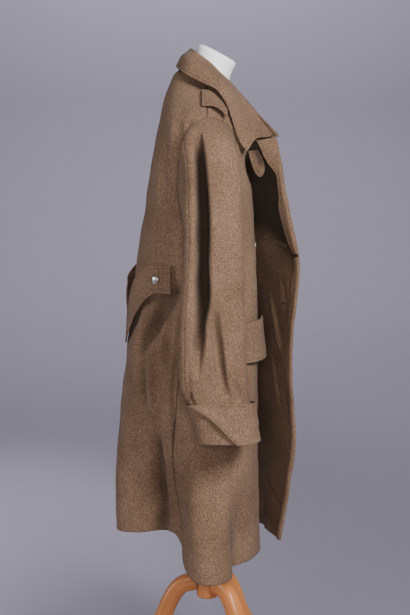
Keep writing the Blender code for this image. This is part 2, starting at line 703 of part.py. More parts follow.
def add_cuff(side, parent):
    w = np.linspace(0, 1, CUFF_COLUMNS)[None, :]
    h = np.linspace(0, 1, CUFF_ROWS)[:, None]
    edge = CUFF_EDGE_LOW + (CUFF_EDGE_TOP - CUFF_EDGE_LOW) * h
    turn = edge - w * (360 + edge - CUFF_UNDER)
    row = CUFF_LOW_ROW + (CUFF_TOP_ROW - CUFF_LOW_ROW) * h + 0 * w
    normals = sleeve_normals(side, turn, row)
    lift = CUFF_OUT + (CUFF_IN - CUFF_OUT) * w + CUFF_STAND_OFF * h
    outer = sleeve(side, turn, row) + lift[..., None] * normals
    add_wall(f"cuff_{side}", outer, normals, DOUBLE_CLOTH, parent)


def add_collar(parent):
    s = np.linspace(-1, 1, COLLAR_COLUMNS)[None, :]
    t = np.array(COLLAR_ROWS)[:, None]
    normals = unit(
        np.cross(
            collar_point(s + 0.01, t) - collar_point(s - 0.01, t),
            collar_point(s, t + 0.01) - collar_point(s, t - 0.01),
        )
    )
    outer = collar_point(s, t)
    middle = normals[-3, COLLAR_COLUMNS // 2]
    if middle[1] < 0:
        normals = -normals
    add_wall("collar", outer, normals, DOUBLE_CLOTH, parent)


def add_strap(side, parent):
    x = np.linspace(STRAP_IN_X, STRAP_OUT_X, STRAP_ROWS)[:, None]
    y = np.linspace(STRAP_BACK_Y, STRAP_FRONT_Y, STRAP_COLUMNS)[None, :]
    x, y = np.broadcast_arrays(x, y)
    ridge = np.flatnonzero((BODY["z"] >= ARM_TOP) & (BODY["z"] <= NECK_POINT_Z))[::-1]

    def top(a, b):
        seam = along(BODY["half_width"][ridge], BODY["z"][ridge], a)
        share = ease((a - STRAP_IN_X) / (STRAP_OUT_X - STRAP_IN_X))
        bent = np.maximum(STRAP_BEND_Y - b, 0) / (STRAP_BEND_Y - STRAP_FRONT_Y)
        height = seam + STRAP_LIFT + (STRAP_END_LIFT - STRAP_LIFT) * share - STRAP_DROP * bent**2
        return np.stack([SIGN[side] * a, b, height], axis=-1)

    step = 0.002
    normals = unit(np.cross(top(x + step, y) - top(x - step, y), top(x, y + step) - top(x, y - step)))
    normals = normals * np.sign(normals[..., 2:3])
    add_wall(f"shoulder_strap_{side}", top(x, y), normals, DOUBLE_CLOTH, parent)


def add_belt(parent):
    knots = np.linspace(0, 1, len(BELT["x"]))
    s = np.linspace(0, 1, BELT_COLUMNS)
    at = {name: along(knots, values, s) for name, values in BELT.items()}
    middle = np.stack([at["x"], at["y"], at["z"]], axis=-1)
    forward = unit(np.gradient(middle, axis=0))
    level = unit(np.stack([-forward[:, 1], forward[:, 0], np.zeros(len(s))], axis=-1))
    level *= np.where(level[:, 1:2] < 0, -1, 1)
    upright = unit(np.cross(forward, level))
    upright *= np.sign(upright[:, 2:3])
    upright = unit(upright - at["lean"][:, None] * level)
    normals = unit(np.cross(upright, forward))
    normals *= np.where(np.sum(normals * level, axis=1, keepdims=True) < 0, -1, 1)
    offsets = np.linspace(-0.5, 0.5, BELT_ROWS) * BELT_WIDTH
    outer = middle[None] + offsets[:, None, None] * upright[None]
    add_wall("half_belt", outer, np.broadcast_to(normals, outer.shape), DOUBLE_CLOTH, parent)
    for side in (RIGHT, LEFT):
        at_button = int(np.argmin(np.abs(middle[:, 0] - SIGN[side] * BELT_BUTTON_X)))
        add_button(f"belt_button_{side}", middle[at_button], normals[at_button], BELT_BUTTON_RADIUS, parent)


def add_flap(side, parent):
    u = np.linspace(FLAP_BACK_U, FLAP_FRONT_U, FLAP_COLUMNS)[None, :]
    z = np.linspace(FLAP_LOW_Z, FLAP_TOP_Z, FLAP_ROWS)[:, None]
    u, z = np.broadcast_arrays(u, z)
    ahead = ease((u - FLAP_BACK_U) / (FLAP_FRONT_U - FLAP_BACK_U))
    hang = (FLAP_TOP_Z - z) / (FLAP_TOP_Z - FLAP_LOW_Z)
    lift = FLAP_LIFT + (FLAP_FRONT_LIFT - FLAP_LIFT) * ahead * (0.5 + 0.5 * hang)
    normals = body_normals(side, u, z)
    outer = body(side, u, z) + lift[..., None] * normals
    add_wall(f"pocket_flap_{side}", outer, normals, DOUBLE_CLOTH, parent)


def add_button(name, point, normal, radius, parent):
    """A domed button with a short shank, standing on a surface."""
    profile = ((0.35, 0.08), (0.94, 0.13), (1.0, 0.22), (0.80, 0.42), (0.42, 0.54))
    side = unit(np.cross(normal, (0.0, 0.0, 1.0)))
    other = np.cross(normal, side)
    turns = np.arange(BUTTON_SIDES) * 2 * math.pi / BUTTON_SIDES
    rings = [
        np.array([
            point + radius * (across * (math.cos(a) * side + math.sin(a) * other) + up * normal)
            for a in turns
        ])
        for across, up in profile
    ]
    add_rings(name, rings, METAL, parent)


def add_front_buttons(side, parent):
    """A column on each front, level with the buttonholes of the left edge."""
    for number, z in enumerate(BUTTON_HEIGHTS, start=1):
        places = np.linspace(1, 2, 401)
        x, _ = plan(side, places, np.full_like(places, z))
        u = places[int(np.argmin(np.abs(SIGN[side] * x - BUTTON_X[side])))]
        point, normal = body(side, u, z), body_normals(side, np.array(u), np.array(z))
        add_button(f"button_{side}_{number}", point, normal, FRONT_BUTTON_RADIUS, parent)


def add_form(parent):
    angles = np.arange(FORM_SIDES) * 2 * math.pi / FORM_SIDES
    rings = []
    for z, half, back, front, slope in zip(*FORM.values()):
        middle, deep = (back + front) / 2, (back - front) / 2
        y = deep * np.cos(angles)
        rings.append(np.stack([half * np.sin(angles), middle + y, z + slope * y], axis=-1))
    add_rings("dress_form", rings, COVER, parent)


def add_turned(name, profile, spec, parent):
    """A turned piece on the stand's axis, from its radius and height."""
    angles = np.arange(TURNED_SIDES) * 2 * math.pi / TURNED_SIDES
    rings = [
        np.stack([r * np.cos(angles), STAND_Y + r * np.sin(angles), np.full(TURNED_SIDES, z)], axis=-1)
        for r, z in profile
    ]
    add_rings(name, rings, spec, parent)


def add_stand(parent):
    pole = (
        (HUB_RADIUS - HUB_SOFTEN, HUB_LOW),
        (HUB_RADIUS, HUB_LOW + HUB_SOFTEN),
        (HUB_RADIUS, HUB_TOP - HUB_SOFTEN),
        (HUB_RADIUS - HUB_SOFTEN, HUB_TOP),
        (POLE_RADIUS, HUB_TOP),
        (POLE_RADIUS, FORM["z"][0] - SEAM_GAP),
    )
    add_turned("stand_pole", pole, BEECH, parent)
    corners = [(0.5, -0.32), (0.5, 0.32), (0.32, 0.5), (-0.32, 0.5), (-0.5, 0.32), (-0.5, -0.32),
               (-0.32, -0.5), (0.32, -0.5)]
    for number, turn in enumerate(LEG_TURNS, start=1):
        heading = np.array([-math.cos(math.radians(turn)), math.sin(math.radians(turn)), 0.0])
        sideways = np.array([-heading[1], heading[0], 0.0])
        rings = []
        for reach, z, lean in zip(*LEG.values()):
            middle = heading * reach + np.array([0, STAND_Y, z])
            bend = math.radians(lean)
            facing = np.array([0, 0, math.cos(bend)]) + heading * math.sin(bend)
            rings.append(
                np.array([middle + LEG_WIDTH * a * sideways + LEG_DEPTH * b * facing for a, b in corners])
            )
        add_rings(f"stand_leg_{number}", rings, BEECH, parent)


def build():
    for old in list(bpy.data.objects):
        bpy.data.objects.remove(old, do_unlink=True)
    whole = bpy.data.objects.new("whole", None)
    bpy.context.collection.objects.link(whole)
    add_form(whole)
    add_stand(whole)
    add_back(whole)
    for side in (RIGHT, LEFT):
        add_front(side, whole)
        add_sleeve(side, whole)
        add_cuff(side, whole)
        add_strap(side, whole)
        add_flap(side, whole)
        add_front_buttons(side, whole)
    add_lapel_right(whole)
    add_lapel_left(whole)
    add_collar(whole)
    add_belt(whole)
    meshes = [part for part in bpy.data.objects if part.type == "MESH"]
    corners = np.concatenate([[tuple(v.co) for v in part.data.vertices] for part in meshes])
    low, high = corners.min(axis=0), corners.max(axis=0)
    whole.location = (-(low[0] + high[0]) / 2, -(low[1] + high[1]) / 2, -low[2])


build()
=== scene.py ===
# %% [markdown]
# # A greatcoat on its dress form
# A long, heavy wool coat hangs open on a white form with a bent beech tripod. The solids already have
# its shape and its largest folds. This lesson sews the coat over them: each cut piece becomes a thin
# shell on the same form, with the seams, creases and stitches that a solid is too coarse for.

import math

import bpy
import numpy as np
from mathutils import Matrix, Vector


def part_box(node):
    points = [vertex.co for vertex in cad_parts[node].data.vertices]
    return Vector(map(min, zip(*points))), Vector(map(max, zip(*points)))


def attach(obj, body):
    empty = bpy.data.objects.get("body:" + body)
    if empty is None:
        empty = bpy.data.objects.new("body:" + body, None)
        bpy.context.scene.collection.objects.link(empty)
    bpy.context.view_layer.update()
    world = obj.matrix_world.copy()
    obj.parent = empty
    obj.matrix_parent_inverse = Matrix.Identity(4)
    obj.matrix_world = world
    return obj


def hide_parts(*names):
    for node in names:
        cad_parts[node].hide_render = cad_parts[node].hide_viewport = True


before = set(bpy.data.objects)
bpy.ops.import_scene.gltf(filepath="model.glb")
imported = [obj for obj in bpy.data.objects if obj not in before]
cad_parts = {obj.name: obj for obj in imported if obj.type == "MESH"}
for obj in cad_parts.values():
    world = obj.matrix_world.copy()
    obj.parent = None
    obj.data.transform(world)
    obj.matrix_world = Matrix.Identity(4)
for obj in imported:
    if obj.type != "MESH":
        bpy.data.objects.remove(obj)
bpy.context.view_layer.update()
STAND_Y = -0.006          # the pole stands this far ahead of the axis the coat is drawn about
pole_low, pole_high = (np.array(corner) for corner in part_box("stand_pole"))
AXIS = np.array([(pole_low[0] + pole_high[0]) / 2, (pole_low[1] + pole_high[1]) / 2 - STAND_Y, 0.0])

# %% [markdown]
# ## The camera
# The photo was taken from the wearer's right, a little above chest height and tilted down. Half-belt,
# sleeve and hem all fit one camera 3 m away, so the same camera is set here.

# %% Camera
CAMERA_AWAY, CAMERA_HEIGHT, CAMERA_TILT = 3.0, 1.38, 8.0
PHOTO_HEIGHT, FOCAL_LENGTH, SENSOR = 615, 1260, 36.0     # the first two in pixels, the sensor in mm


def put(name, data):
    """A new object in the scene."""
    part = bpy.data.objects.new(name, data)
    bpy.context.collection.objects.link(part)
    return part


lens = bpy.data.cameras.new("camera")
lens.sensor_fit = "VERTICAL"
lens.sensor_height = SENSOR
lens.lens = FOCAL_LENGTH / PHOTO_HEIGHT * SENSOR
camera = put("camera", lens)
camera.location = AXIS + (-CAMERA_AWAY, 0, CAMERA_HEIGHT)
camera.rotation_euler = (math.radians(90 - CAMERA_TILT), 0, math.radians(-90))
bpy.context.scene.camera = camera
print("lens", round(lens.lens, 2), "mm")

# %% [markdown]
# ## Materials
# A surface is a few nodes: a pattern in real millimetres, a colour, a roughness and a little relief.
# Colours are written as they look on a screen and turned into the linear values that light needs.

# %% Material helpers
def linear(code):
    """The linear colour of a screen colour such as #8A7462."""
    screen = np.array([int(code[k:k + 2], 16) for k in (1, 3, 5)]) / 255
    return (*np.where(screen <= 0.04045, screen / 12.92, ((screen + 0.055) / 1.055) ** 2.4), 1.0)


def new_material(name, **inputs):
    material = bpy.data.materials.new(name)
    material.use_nodes = True
    shader = material.node_tree.nodes["Principled BSDF"]
    for key, value in inputs.items():
        shader.inputs[key.replace("_", " ").title()].default_value = value
    return material, shader


def add_node(material, kind, inputs, stops=(), **settings):
    """Adds a node; an input is a value or another node's output, a stop a place and a screen colour."""
    node = material.node_tree.nodes.new(kind)
    for key, value in settings.items():
        setattr(node, key, value)
    for key, value in inputs.items():
        if isinstance(value, bpy.types.NodeSocket):
            material.node_tree.links.new(value, node.inputs[key])
        else:
            node.inputs[key].default_value = value
    for _ in stops[2:]:
        node.color_ramp.elements.new(0.5)
    for k, (place, code) in enumerate(stops):
        node.color_ramp.elements[k].position = place
        node.color_ramp.elements[k].color = linear(code)
    return node


# %% [markdown]
# ## Wool
# Coat wool is spun from fibres dyed in several browns, so close up it is flecked, and felting leaves it
# matt with a faint bloom of loose fibres at its edges. The flecks are drawn about 2 mm wide, coarser
# than real ones, because the photo shows the heather at that size. Each shell carries a value named
# shade, a painted shade that darkens its colour along its seams and stitch rows, in its deepest folds
# and in other hollows where hardly any light comes.

# %% Wool
FLECK, FELT, PATCH = 0.0022, 0.0012, 0.11        # sizes of the patterns in metres
MIX_A, MIX_B, MIX_OUT = 6, 7, 2                  # the colour sockets of a mix node

wool, shader = new_material("felted_coat_wool", roughness=0.95)
shader.inputs["Sheen Weight"].default_value = 0.04           # loose fibres catch light at the edges
shader.inputs["Sheen Roughness"].default_value = 0.5
shader.inputs["Specular IOR Level"].default_value = 0.15     # felt has hardly any gloss
place = add_node(wool, "ShaderNodeTexCoord", {}).outputs["Object"]
fleck, patch, felt = (
    add_node(wool, "ShaderNodeTexNoise",
             {"Vector": place, "Scale": 1 / size, "Detail": detail, "Roughness": rough})
    for size, detail, rough in ((FLECK, 2.0, 0.65), (PATCH, 3.0, 0.5), (FELT, 2.0, 0.5))
)
heather = add_node(wool, "ShaderNodeValToRGB", {"Fac": fleck.outputs["Fac"]},
                   [(0.28, "#4E3B2D"), (0.50, "#765D4B"), (0.72, "#A5866E")])
worn = add_node(wool, "ShaderNodeValToRGB", {"Fac": patch.outputs["Fac"]},
                [(0.30, "#DAD7D4"), (0.70, "#FFFFFF")])
cloth_colour = add_node(wool, "ShaderNodeMix",
                        {0: 1.0, MIX_A: heather.outputs["Color"], MIX_B: worn.outputs["Color"]},
                        data_type="RGBA", blend_type="MULTIPLY")
# Painted shade: the shell's shade value darkens the wool towards #2E241D.
shade = add_node(wool, "ShaderNodeAttribute", {}, attribute_name="shade")
shaded_colour = add_node(
    wool, "ShaderNodeMix",
    {0: shade.outputs["Fac"], MIX_A: cloth_colour.outputs[MIX_OUT], MIX_B: linear("#2E241D")},
    data_type="RGBA",
)
nap = add_node(wool, "ShaderNodeBump",
               {"Height": felt.outputs["Fac"], "Strength": 0.35, "Distance": 0.0010})
wool.node_tree.links.new(shaded_colour.outputs[MIX_OUT], shader.inputs["Base Color"])
wool.node_tree.links.new(nap.outputs["Normal"], shader.inputs["Normal"])
print("flecks", round(1000 * FLECK, 1), "mm, felt", round(1000 * FELT, 1), "mm")

# %% [markdown]
# ## Curves and tables
# The coat is drawn from short tables, as a cutter works from measures: width, depth and edge at a few
# heights, and a smooth curve between them. These are the measures of the solids, so that the shells
# lie on the same form.

# %% Curve helpers
RIGHT, LEFT = "right", "left"
SIGN = {RIGHT: -1.0, LEFT: 1.0}


def table(names, *rows):
    """A short table with named columns, kept as one array for each column."""
    return dict(zip(names.split(), np.array(rows, float).T))


def both(names, right, left):
    """The same kind of table for the coat's right and left side."""
    return {RIGHT: table(names, *right), LEFT: table(names, *left)}


def along(knots, values, at):
    """A smooth curve with no overshoot through a table's values."""
    step = np.diff(knots)
    slope = np.diff(values) / step
    before, after = slope[:-1], slope[1:]
    same_way = before * after > 0
    tangent = np.empty(len(knots))
    tangent[0], tangent[-1] = slope[0], slope[-1]
    tangent[1:-1] = np.where(same_way, 2 * before * after / np.where(same_way, before + after, 1), 0)
    at = np.clip(at, knots[0], knots[-1])
    k = np.clip(np.searchsorted(knots, at, side="right") - 1, 0, len(step) - 1)
    t = (at - knots[k]) / step[k]
    return (
        (1 + 2 * t) * (1 - t) ** 2 * values[k]
        + t * (1 - t) ** 2 * step[k] * tangent[k]
        + t * t * (3 - 2 * t) * values[k + 1]
        + t * t * (t - 1) * step[k] * tangent[k + 1]
    )


def look_up(rows, at, key=None):
    """All columns of a table at places in its key column, or at shares of the way down its rows."""
    knots = rows[key] if key else np.linspace(0, 1, len(next(iter(rows.values()))))
    return {name: along(knots, values, at) for name, values in rows.items() if name != key}


def between(start, end, share):
    return start + (end - start) * share


def bell(off, width, power=2):
    """1 in the middle of a band, fading away beyond its width."""
    return np.exp(-(np.abs(off / width) ** power))


def ease(t, start=0.0, end=1.0):
    """0 to 1 with a soft start and end, as t goes from start to end."""
    t = np.clip((t - start) / (end - start), 0, 1)
    return t * t * (3 - 2 * t)


def unit(vectors):
    return vectors / np.linalg.norm(vectors, axis=-1, keepdims=True)


def superellipse(angle, along_x, along_y, square):
    """Distance from the middle to a superellipse, at an angle from its x axis."""
    x_part = np.abs(np.cos(angle) / along_x) ** square
    y_part = np.abs(np.sin(angle) / along_y) ** square
    return (x_part + y_part) ** (-1 / square)


def closer(count, dense=0.7):
    """Steps from 0 to 1, closer together towards both ends, where the sewing is."""
    t = np.linspace(0, 1, count + 1)
    return t - dense * np.sin(2 * math.pi * t) / (2 * math.pi)


# %% [markdown]
# ## Stitches
# A stitch is a short swelling of thread, and a row of them follows a line on the cloth. Geometry Nodes
# turn each line into a curve, step along it and set one stitch, turned along the curve, at each step.
# A buttonhole is the same row, worked so closely that it becomes a raised rim.

# %% Stitches
thread, shader = new_material("twisted_wool_thread", roughness=0.85)     # a little paler than the cloth
TWIST = 0.0006            # the thread's turns, in metres
place = add_node(thread, "ShaderNodeTexCoord", {}).outputs["Object"]
twist = add_node(thread, "ShaderNodeTexNoise", {"Vector": place, "Scale": 1 / TWIST, "Detail": 1.0})
thread_colour = add_node(thread, "ShaderNodeValToRGB", {"Fac": twist.outputs["Fac"]},
                         [(0.35, "#5E4939"), (0.65, "#80664F")])
thread.node_tree.links.new(thread_colour.outputs["Color"], shader.inputs["Base Color"])
THREAD_LIFT, STITCH_IN = 0.0002, 0.0060      # metres off the cloth, and in from its edge
RUNNING = {"Step": 0.0052, "Length": 0.0040, "Thickness": 0.0009}
BUTTONHOLE = {"Step": 0.0012, "Length": 0.0013, "Thickness": 0.0026}


def stitch_tree():
    """A node tree that sets stitches along the edges of a mesh."""
    tree = bpy.data.node_groups.new("stitches_along_lines", "GeometryNodeTree")
    add_socket, add, link = tree.interface.new_socket, tree.nodes.new, tree.links.new
    add_socket("Geometry", in_out="INPUT", socket_type="NodeSocketGeometry")
    for name, value in RUNNING.items():
        add_socket(name, in_out="INPUT", socket_type="NodeSocketFloat").default_value = value
    add_socket("Geometry", in_out="OUTPUT", socket_type="NodeSocketGeometry")
    given, dressed = add("NodeGroupInput"), add("GeometryNodeSetMaterial")
    steps, size = add("GeometryNodeResampleCurve"), add("ShaderNodeCombineXYZ")
    real, turned = add("GeometryNodeRealizeInstances"), add("FunctionNodeAlignRotationToVector")
    bead, smooth = add("GeometryNodeMeshIcoSphere"), add("GeometryNodeSetShadeSmooth")
    placed, tangent = add("GeometryNodeInstanceOnPoints"), add("GeometryNodeInputTangent")
    steps.mode, turned.axis = "LENGTH", "X"
    bead.inputs["Radius"].default_value, bead.inputs["Subdivisions"].default_value = 0.5, 1
    dressed.inputs["Material"].default_value = thread
    chain = [given, add("GeometryNodeMeshToCurve"), steps, placed, real, dressed, add("NodeGroupOutput")]
    for one, following in (*zip(chain, chain[1:]), (bead, smooth)):
        link(one.outputs[0], following.inputs[0])
    link(given.outputs["Step"], steps.inputs["Length"])
    link(tangent.outputs["Tangent"], turned.inputs["Vector"])
    for axis, name in zip("XYZ", ("Length", "Thickness", "Thickness")):
        link(given.outputs[name], size.inputs[axis])
    for node, name in ((smooth, "Instance"), (turned, "Rotation"), (size, "Scale")):
        link(node.outputs[0], placed.inputs[name])
    return tree


STITCHES = stitch_tree()
print("stitches", 1000 * RUNNING["Length"], "mm long, one each", 1000 * RUNNING["Step"], "mm")


def add_stitches(name, lines, sizes=RUNNING):
    """Rows of stitches along lines of points, as one finished object."""
    points = np.concatenate(lines) + AXIS
    ends = np.cumsum([len(line) for line in lines])
    edges = [(k, k + 1) for k in range(len(points) - 1) if k + 1 not in ends]
    guide = bpy.data.meshes.new(name + "_guide")
    guide.from_pydata(points.tolist(), edges, [])
    holder = put(name + "_guide", guide)
    modifier = holder.modifiers.new("stitches", "NODES")
    modifier.node_group = STITCHES
    for item in STITCHES.interface.items_tree:
        if item.in_out == "INPUT" and item.name in sizes:
            modifier[item.identifier] = sizes[item.name]
    sewn = bpy.data.meshes.new_from_object(holder.evaluated_get(bpy.context.evaluated_depsgraph_get()))
    holder.modifiers.remove(modifier)
    bpy.data.objects.remove(holder, do_unlink=True)
    bpy.data.meshes.remove(guide)
    part = put(name, sewn)
    sewn.name = name
    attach(part, "root")
    return part


def stitch_line(points, normals, border, inset=STITCH_IN):
    """The line at a distance from one border of a grid, on its face."""
    far = distances(points)[border]
    if border in ("low", "top"):
        far, points, normals = far.T, points.swapaxes(0, 1), normals.swapaxes(0, 1)
    if border in ("last", "top"):
        far, points, normals = far[:, ::-1], points[:, ::-1], normals[:, ::-1]
    lifted = points + THREAD_LIFT * normals
    line = np.array([[np.interp(inset, at, row[:, k]) for k in range(3)] for at, row in zip(far, lifted)])
    gone = np.pad(np.linalg.norm(np.diff(line, axis=0), axis=1).cumsum(), (1, 0))
    return line[(gone > inset) & (gone < gone[-1] - inset)]


# %% [markdown]
# ## Cloth
# A sewn piece is a grid of points on its outer face. At a seam the cloth turns in, so the surface dips
# and is darkened with painted shade; along a free edge a row of stitches presses a fine groove, which
# painted shade darkens a little too. Creases are placed one by one, each a valley with raised flanks
# that fades at both ends. A rim closes the shell at the thickness of the cloth.

# %% Cloth helpers
CLOTH, DOUBLE_CLOTH = 0.0026, 0.0030
# SEAM_SHADE and STITCH_SHADE are painted shade along the seams and the stitch rows.
SEAM_DIP, SEAM_WIDTH, SEAM_DARK, SEAM_SHADE = 0.0020, 0.0042, 0.0022, 0.65
FAINT = 0.3                                 # a seam that is pressed flat shows this much of itself
STITCH_DIP, STITCH_WIDTH, STITCH_SHADE = 0.0006, 0.0016, 0.15
CREASE_FADE = 0.35                          # of a crease's length, at each end
FLANK_OFF, FLANK_WIDTH = 1.9, 0.8           # of a crease's width
FLANK_SHARE, FLANK_MOST = 0.3, 0.0022       # how high a crease's flanks rise
WAVES, WAVE_START, WAVE_SUM = 10, 6.3, 3    # how many, their latest start, and how high their sum is
RIM_BULGE = 0.4                             # of the cloth's thickness, along a free border


def grid_normals(points, turn):
    return turn * unit(np.cross(np.gradient(points, axis=1), np.gradient(points, axis=0)))


def distances(points):
    """How far each point of a grid is from each border, along the cloth."""
    across = np.pad(np.linalg.norm(np.diff(points, axis=1), axis=2).cumsum(axis=1), ((0, 0), (1, 0)))
    upward = np.pad(np.linalg.norm(np.diff(points, axis=0), axis=2).cumsum(axis=0), ((1, 0), (0, 0)))
    return {"first": across, "last": across[:, -1:] - across, "low": upward, "top": upward[-1:] - upward}


def sewing(points, seams=(), edges=(), faint=()):
    """How far the sewing moves each point outwards, and how much painted shade it gives it."""
    far = distances(points)
    lift, dark = np.zeros(points.shape[:2]), np.zeros(points.shape[:2])
    for border in (*seams, *faint):
        strength = 1.0 if border in seams else FAINT
        lift -= strength * SEAM_DIP * bell(far[border], SEAM_WIDTH)
        dark += strength * SEAM_SHADE * bell(far[border], SEAM_DARK)
    for border in edges:
        row = bell(far[border] - STITCH_IN, STITCH_WIDTH)
        lift -= STITCH_DIP * row
        dark += STITCH_SHADE * row
    return lift, np.clip(dark, 0, 1)


def creases(across, upward, rows, scale=1.0):
    """Creases from (across, up) to (across, up) with a bow, a width and a depth."""
    lift = np.zeros(np.broadcast(across, upward).shape)
    for from_a, from_b, to_a, to_b, bow, width, depth in zip(*rows.values()):
        run_a, run_b = scale * (to_a - from_a), to_b - from_b
        off_a, off_b = scale * (across - from_a), upward - from_b
        length = math.hypot(run_a, run_b)
        t = (off_a * run_a + off_b * run_b) / length**2
        off = (off_a * run_b - off_b * run_a) / length - bow * 4 * t * (1 - t)
        fade = ease(t / CREASE_FADE) * ease((1 - t) / CREASE_FADE)
        flanks = bell(np.abs(off) - FLANK_OFF * width, FLANK_WIDTH * width)
        lift -= fade * (depth * bell(off, width) - min(FLANK_SHARE * depth, FLANK_MOST) * flanks)
    return lift


def unevenness(points, height, shortest, longest, seed):
    """Soft waves in all directions, as in cloth that has hung and been handled."""
    random = np.random.default_rng(seed)
    total = np.zeros(points.shape[:-1])
    for _ in range(WAVES):
        heading, length = unit(random.normal(size=3)), random.uniform(shortest, longest)
        total += np.sin(2 * math.pi * (points @ heading) / length + random.uniform(0, WAVE_START))
    return height * total / WAVE_SUM


def add_object(name, points, faces, material, nodes=()):
    """One closed object in the frame, its faces turned outwards, standing for solids of the same form."""
    points, faces = np.asarray(points, float), [tuple(face) for face in faces]
    volume = 0.0
    for sides in {len(face) for face in faces}:
        corner = points[np.array([face for face in faces if len(face) == sides])]
        for k in range(1, sides - 1):
            volume += np.sum(corner[:, 0] * np.cross(corner[:, k], corner[:, k + 1]))
    if volume < 0:
        faces = [face[::-1] for face in faces]
    mesh = bpy.data.meshes.new(name)
    mesh.from_pydata((points + AXIS).tolist(), [], faces)
    mesh.shade_smooth()
    mesh.materials.append(material)
    part = put(name, mesh)
    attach(part, "root")
    if nodes:
        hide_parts(*nodes)
    return part


def add_cloth(node, outer, normals, dark, free=(), thickness=CLOTH, held="hung", rests_on=("dress_form",),
              lines=(), inner_dark=None):
    """A shell from a grid of outer points; its rim is rounded along the free borders."""
    rows, columns = outer.shape[:2]
    inner = outer - thickness * normals
    index = np.arange(rows * columns).reshape(rows, columns)
    around = [(0, c) for c in range(columns)] + [(r, columns - 1) for r in range(1, rows)]
    around += [(rows - 1, c) for c in range(columns - 2, -1, -1)]
    around += [(r, 0) for r in range(rows - 2, 0, -1)]
    r, c = np.array(around).T
    bulge = np.zeros(len(around))
    on_border = {"first": c == 0, "last": c == columns - 1, "low": r == 0, "top": r == rows - 1}
    for border in sorted(on_border, key=lambda name: name not in free):
        bulge[on_border[border]] = RIM_BULGE * thickness if border in free else 0.0
    away = unit(outer[r, c] - outer[np.clip(r, 1, rows - 2), np.clip(c, 1, columns - 2)])
    rim = (outer[r, c] + inner[r, c]) / 2 + bulge[:, None] * away
    points = np.concatenate([outer.reshape(-1, 3), inner.reshape(-1, 3), rim])
    under = rows * columns
    ring = np.stack([index[:-1, :-1], index[:-1, 1:], index[1:, 1:], index[1:, :-1]], axis=-1)
    ring = ring.reshape(-1, 4)
    border = index[r, c]
    middle = 2 * under + np.arange(len(around))
    after, middle_after = np.roll(border, -1), np.roll(middle, -1)
    faces = np.concatenate([
        ring,
        ring[:, ::-1] + under,
        np.stack([after, border, middle, middle_after], axis=-1),
        np.stack([middle_after, middle, border + under, after + under], axis=-1),
    ])
    part = add_object(f"sewn_{node}", points, faces.tolist(), wool, (node,))
    value = part.data.attributes.new("shade", "FLOAT", "POINT")
    inner_dark = dark if inner_dark is None else inner_dark
    value.data.foreach_set("value", np.concatenate([dark.ravel(), inner_dark.ravel(), dark[r, c]]))
    far = distances(outer)
    sewn = [add_stitches(f"stitches_{node}", lines)] if lines else []


def press(flat, turn, relief=0.0, shade=0.0, away=None, **sewn):
    """A grid with its sewing and its relief pressed in: points, normals and shade."""
    lift, dark = sewing(flat, **sewn)
    away = grid_normals(flat, turn) if away is None else away
    points = flat + (lift + relief)[..., None] * away
    return points, grid_normals(points, turn), np.maximum(dark, shade)


def sew(node, pressed, stitched=(), **cloth):
    """A pressed grid as a sewn piece, with rows of stitches along some of its borders."""
    points, normals, dark = pressed
    lines = [stitch_line(points, normals, border) for border in stitched]
    add_cloth(node, points, normals, dark, lines=lines, **cloth)


# %% [markdown]
# ## The body of the coat
# Back and fronts hang from the shoulders and fall into flutes at the hem. Round the body, 0 is the
# middle of the back, 1 the side and 2 the front edge. The table of folds presses the big flutes; the
# creases between them are the small ones that a long life on a hanger leaves.

# %% Measures of the body
HEM_Z, HEM_FADE_Z = 0.400, 0.95
ARM_LOW, ARM_TOP, ARM_Y = 1.160, 1.410, -0.005
NECK_POINT_Z, NAPE_Z, NAPE_CURVE = 1.490, 1.522, 1.6
BACK_SQUARE, FLARE = 2.2, 1.6
SEAM_GAP, SLOPE_STEP, SEARCH_STEPS = 0.0003, 0.012, 401
ACROSS = 0.32             # metres of cloth in one step round the body, about

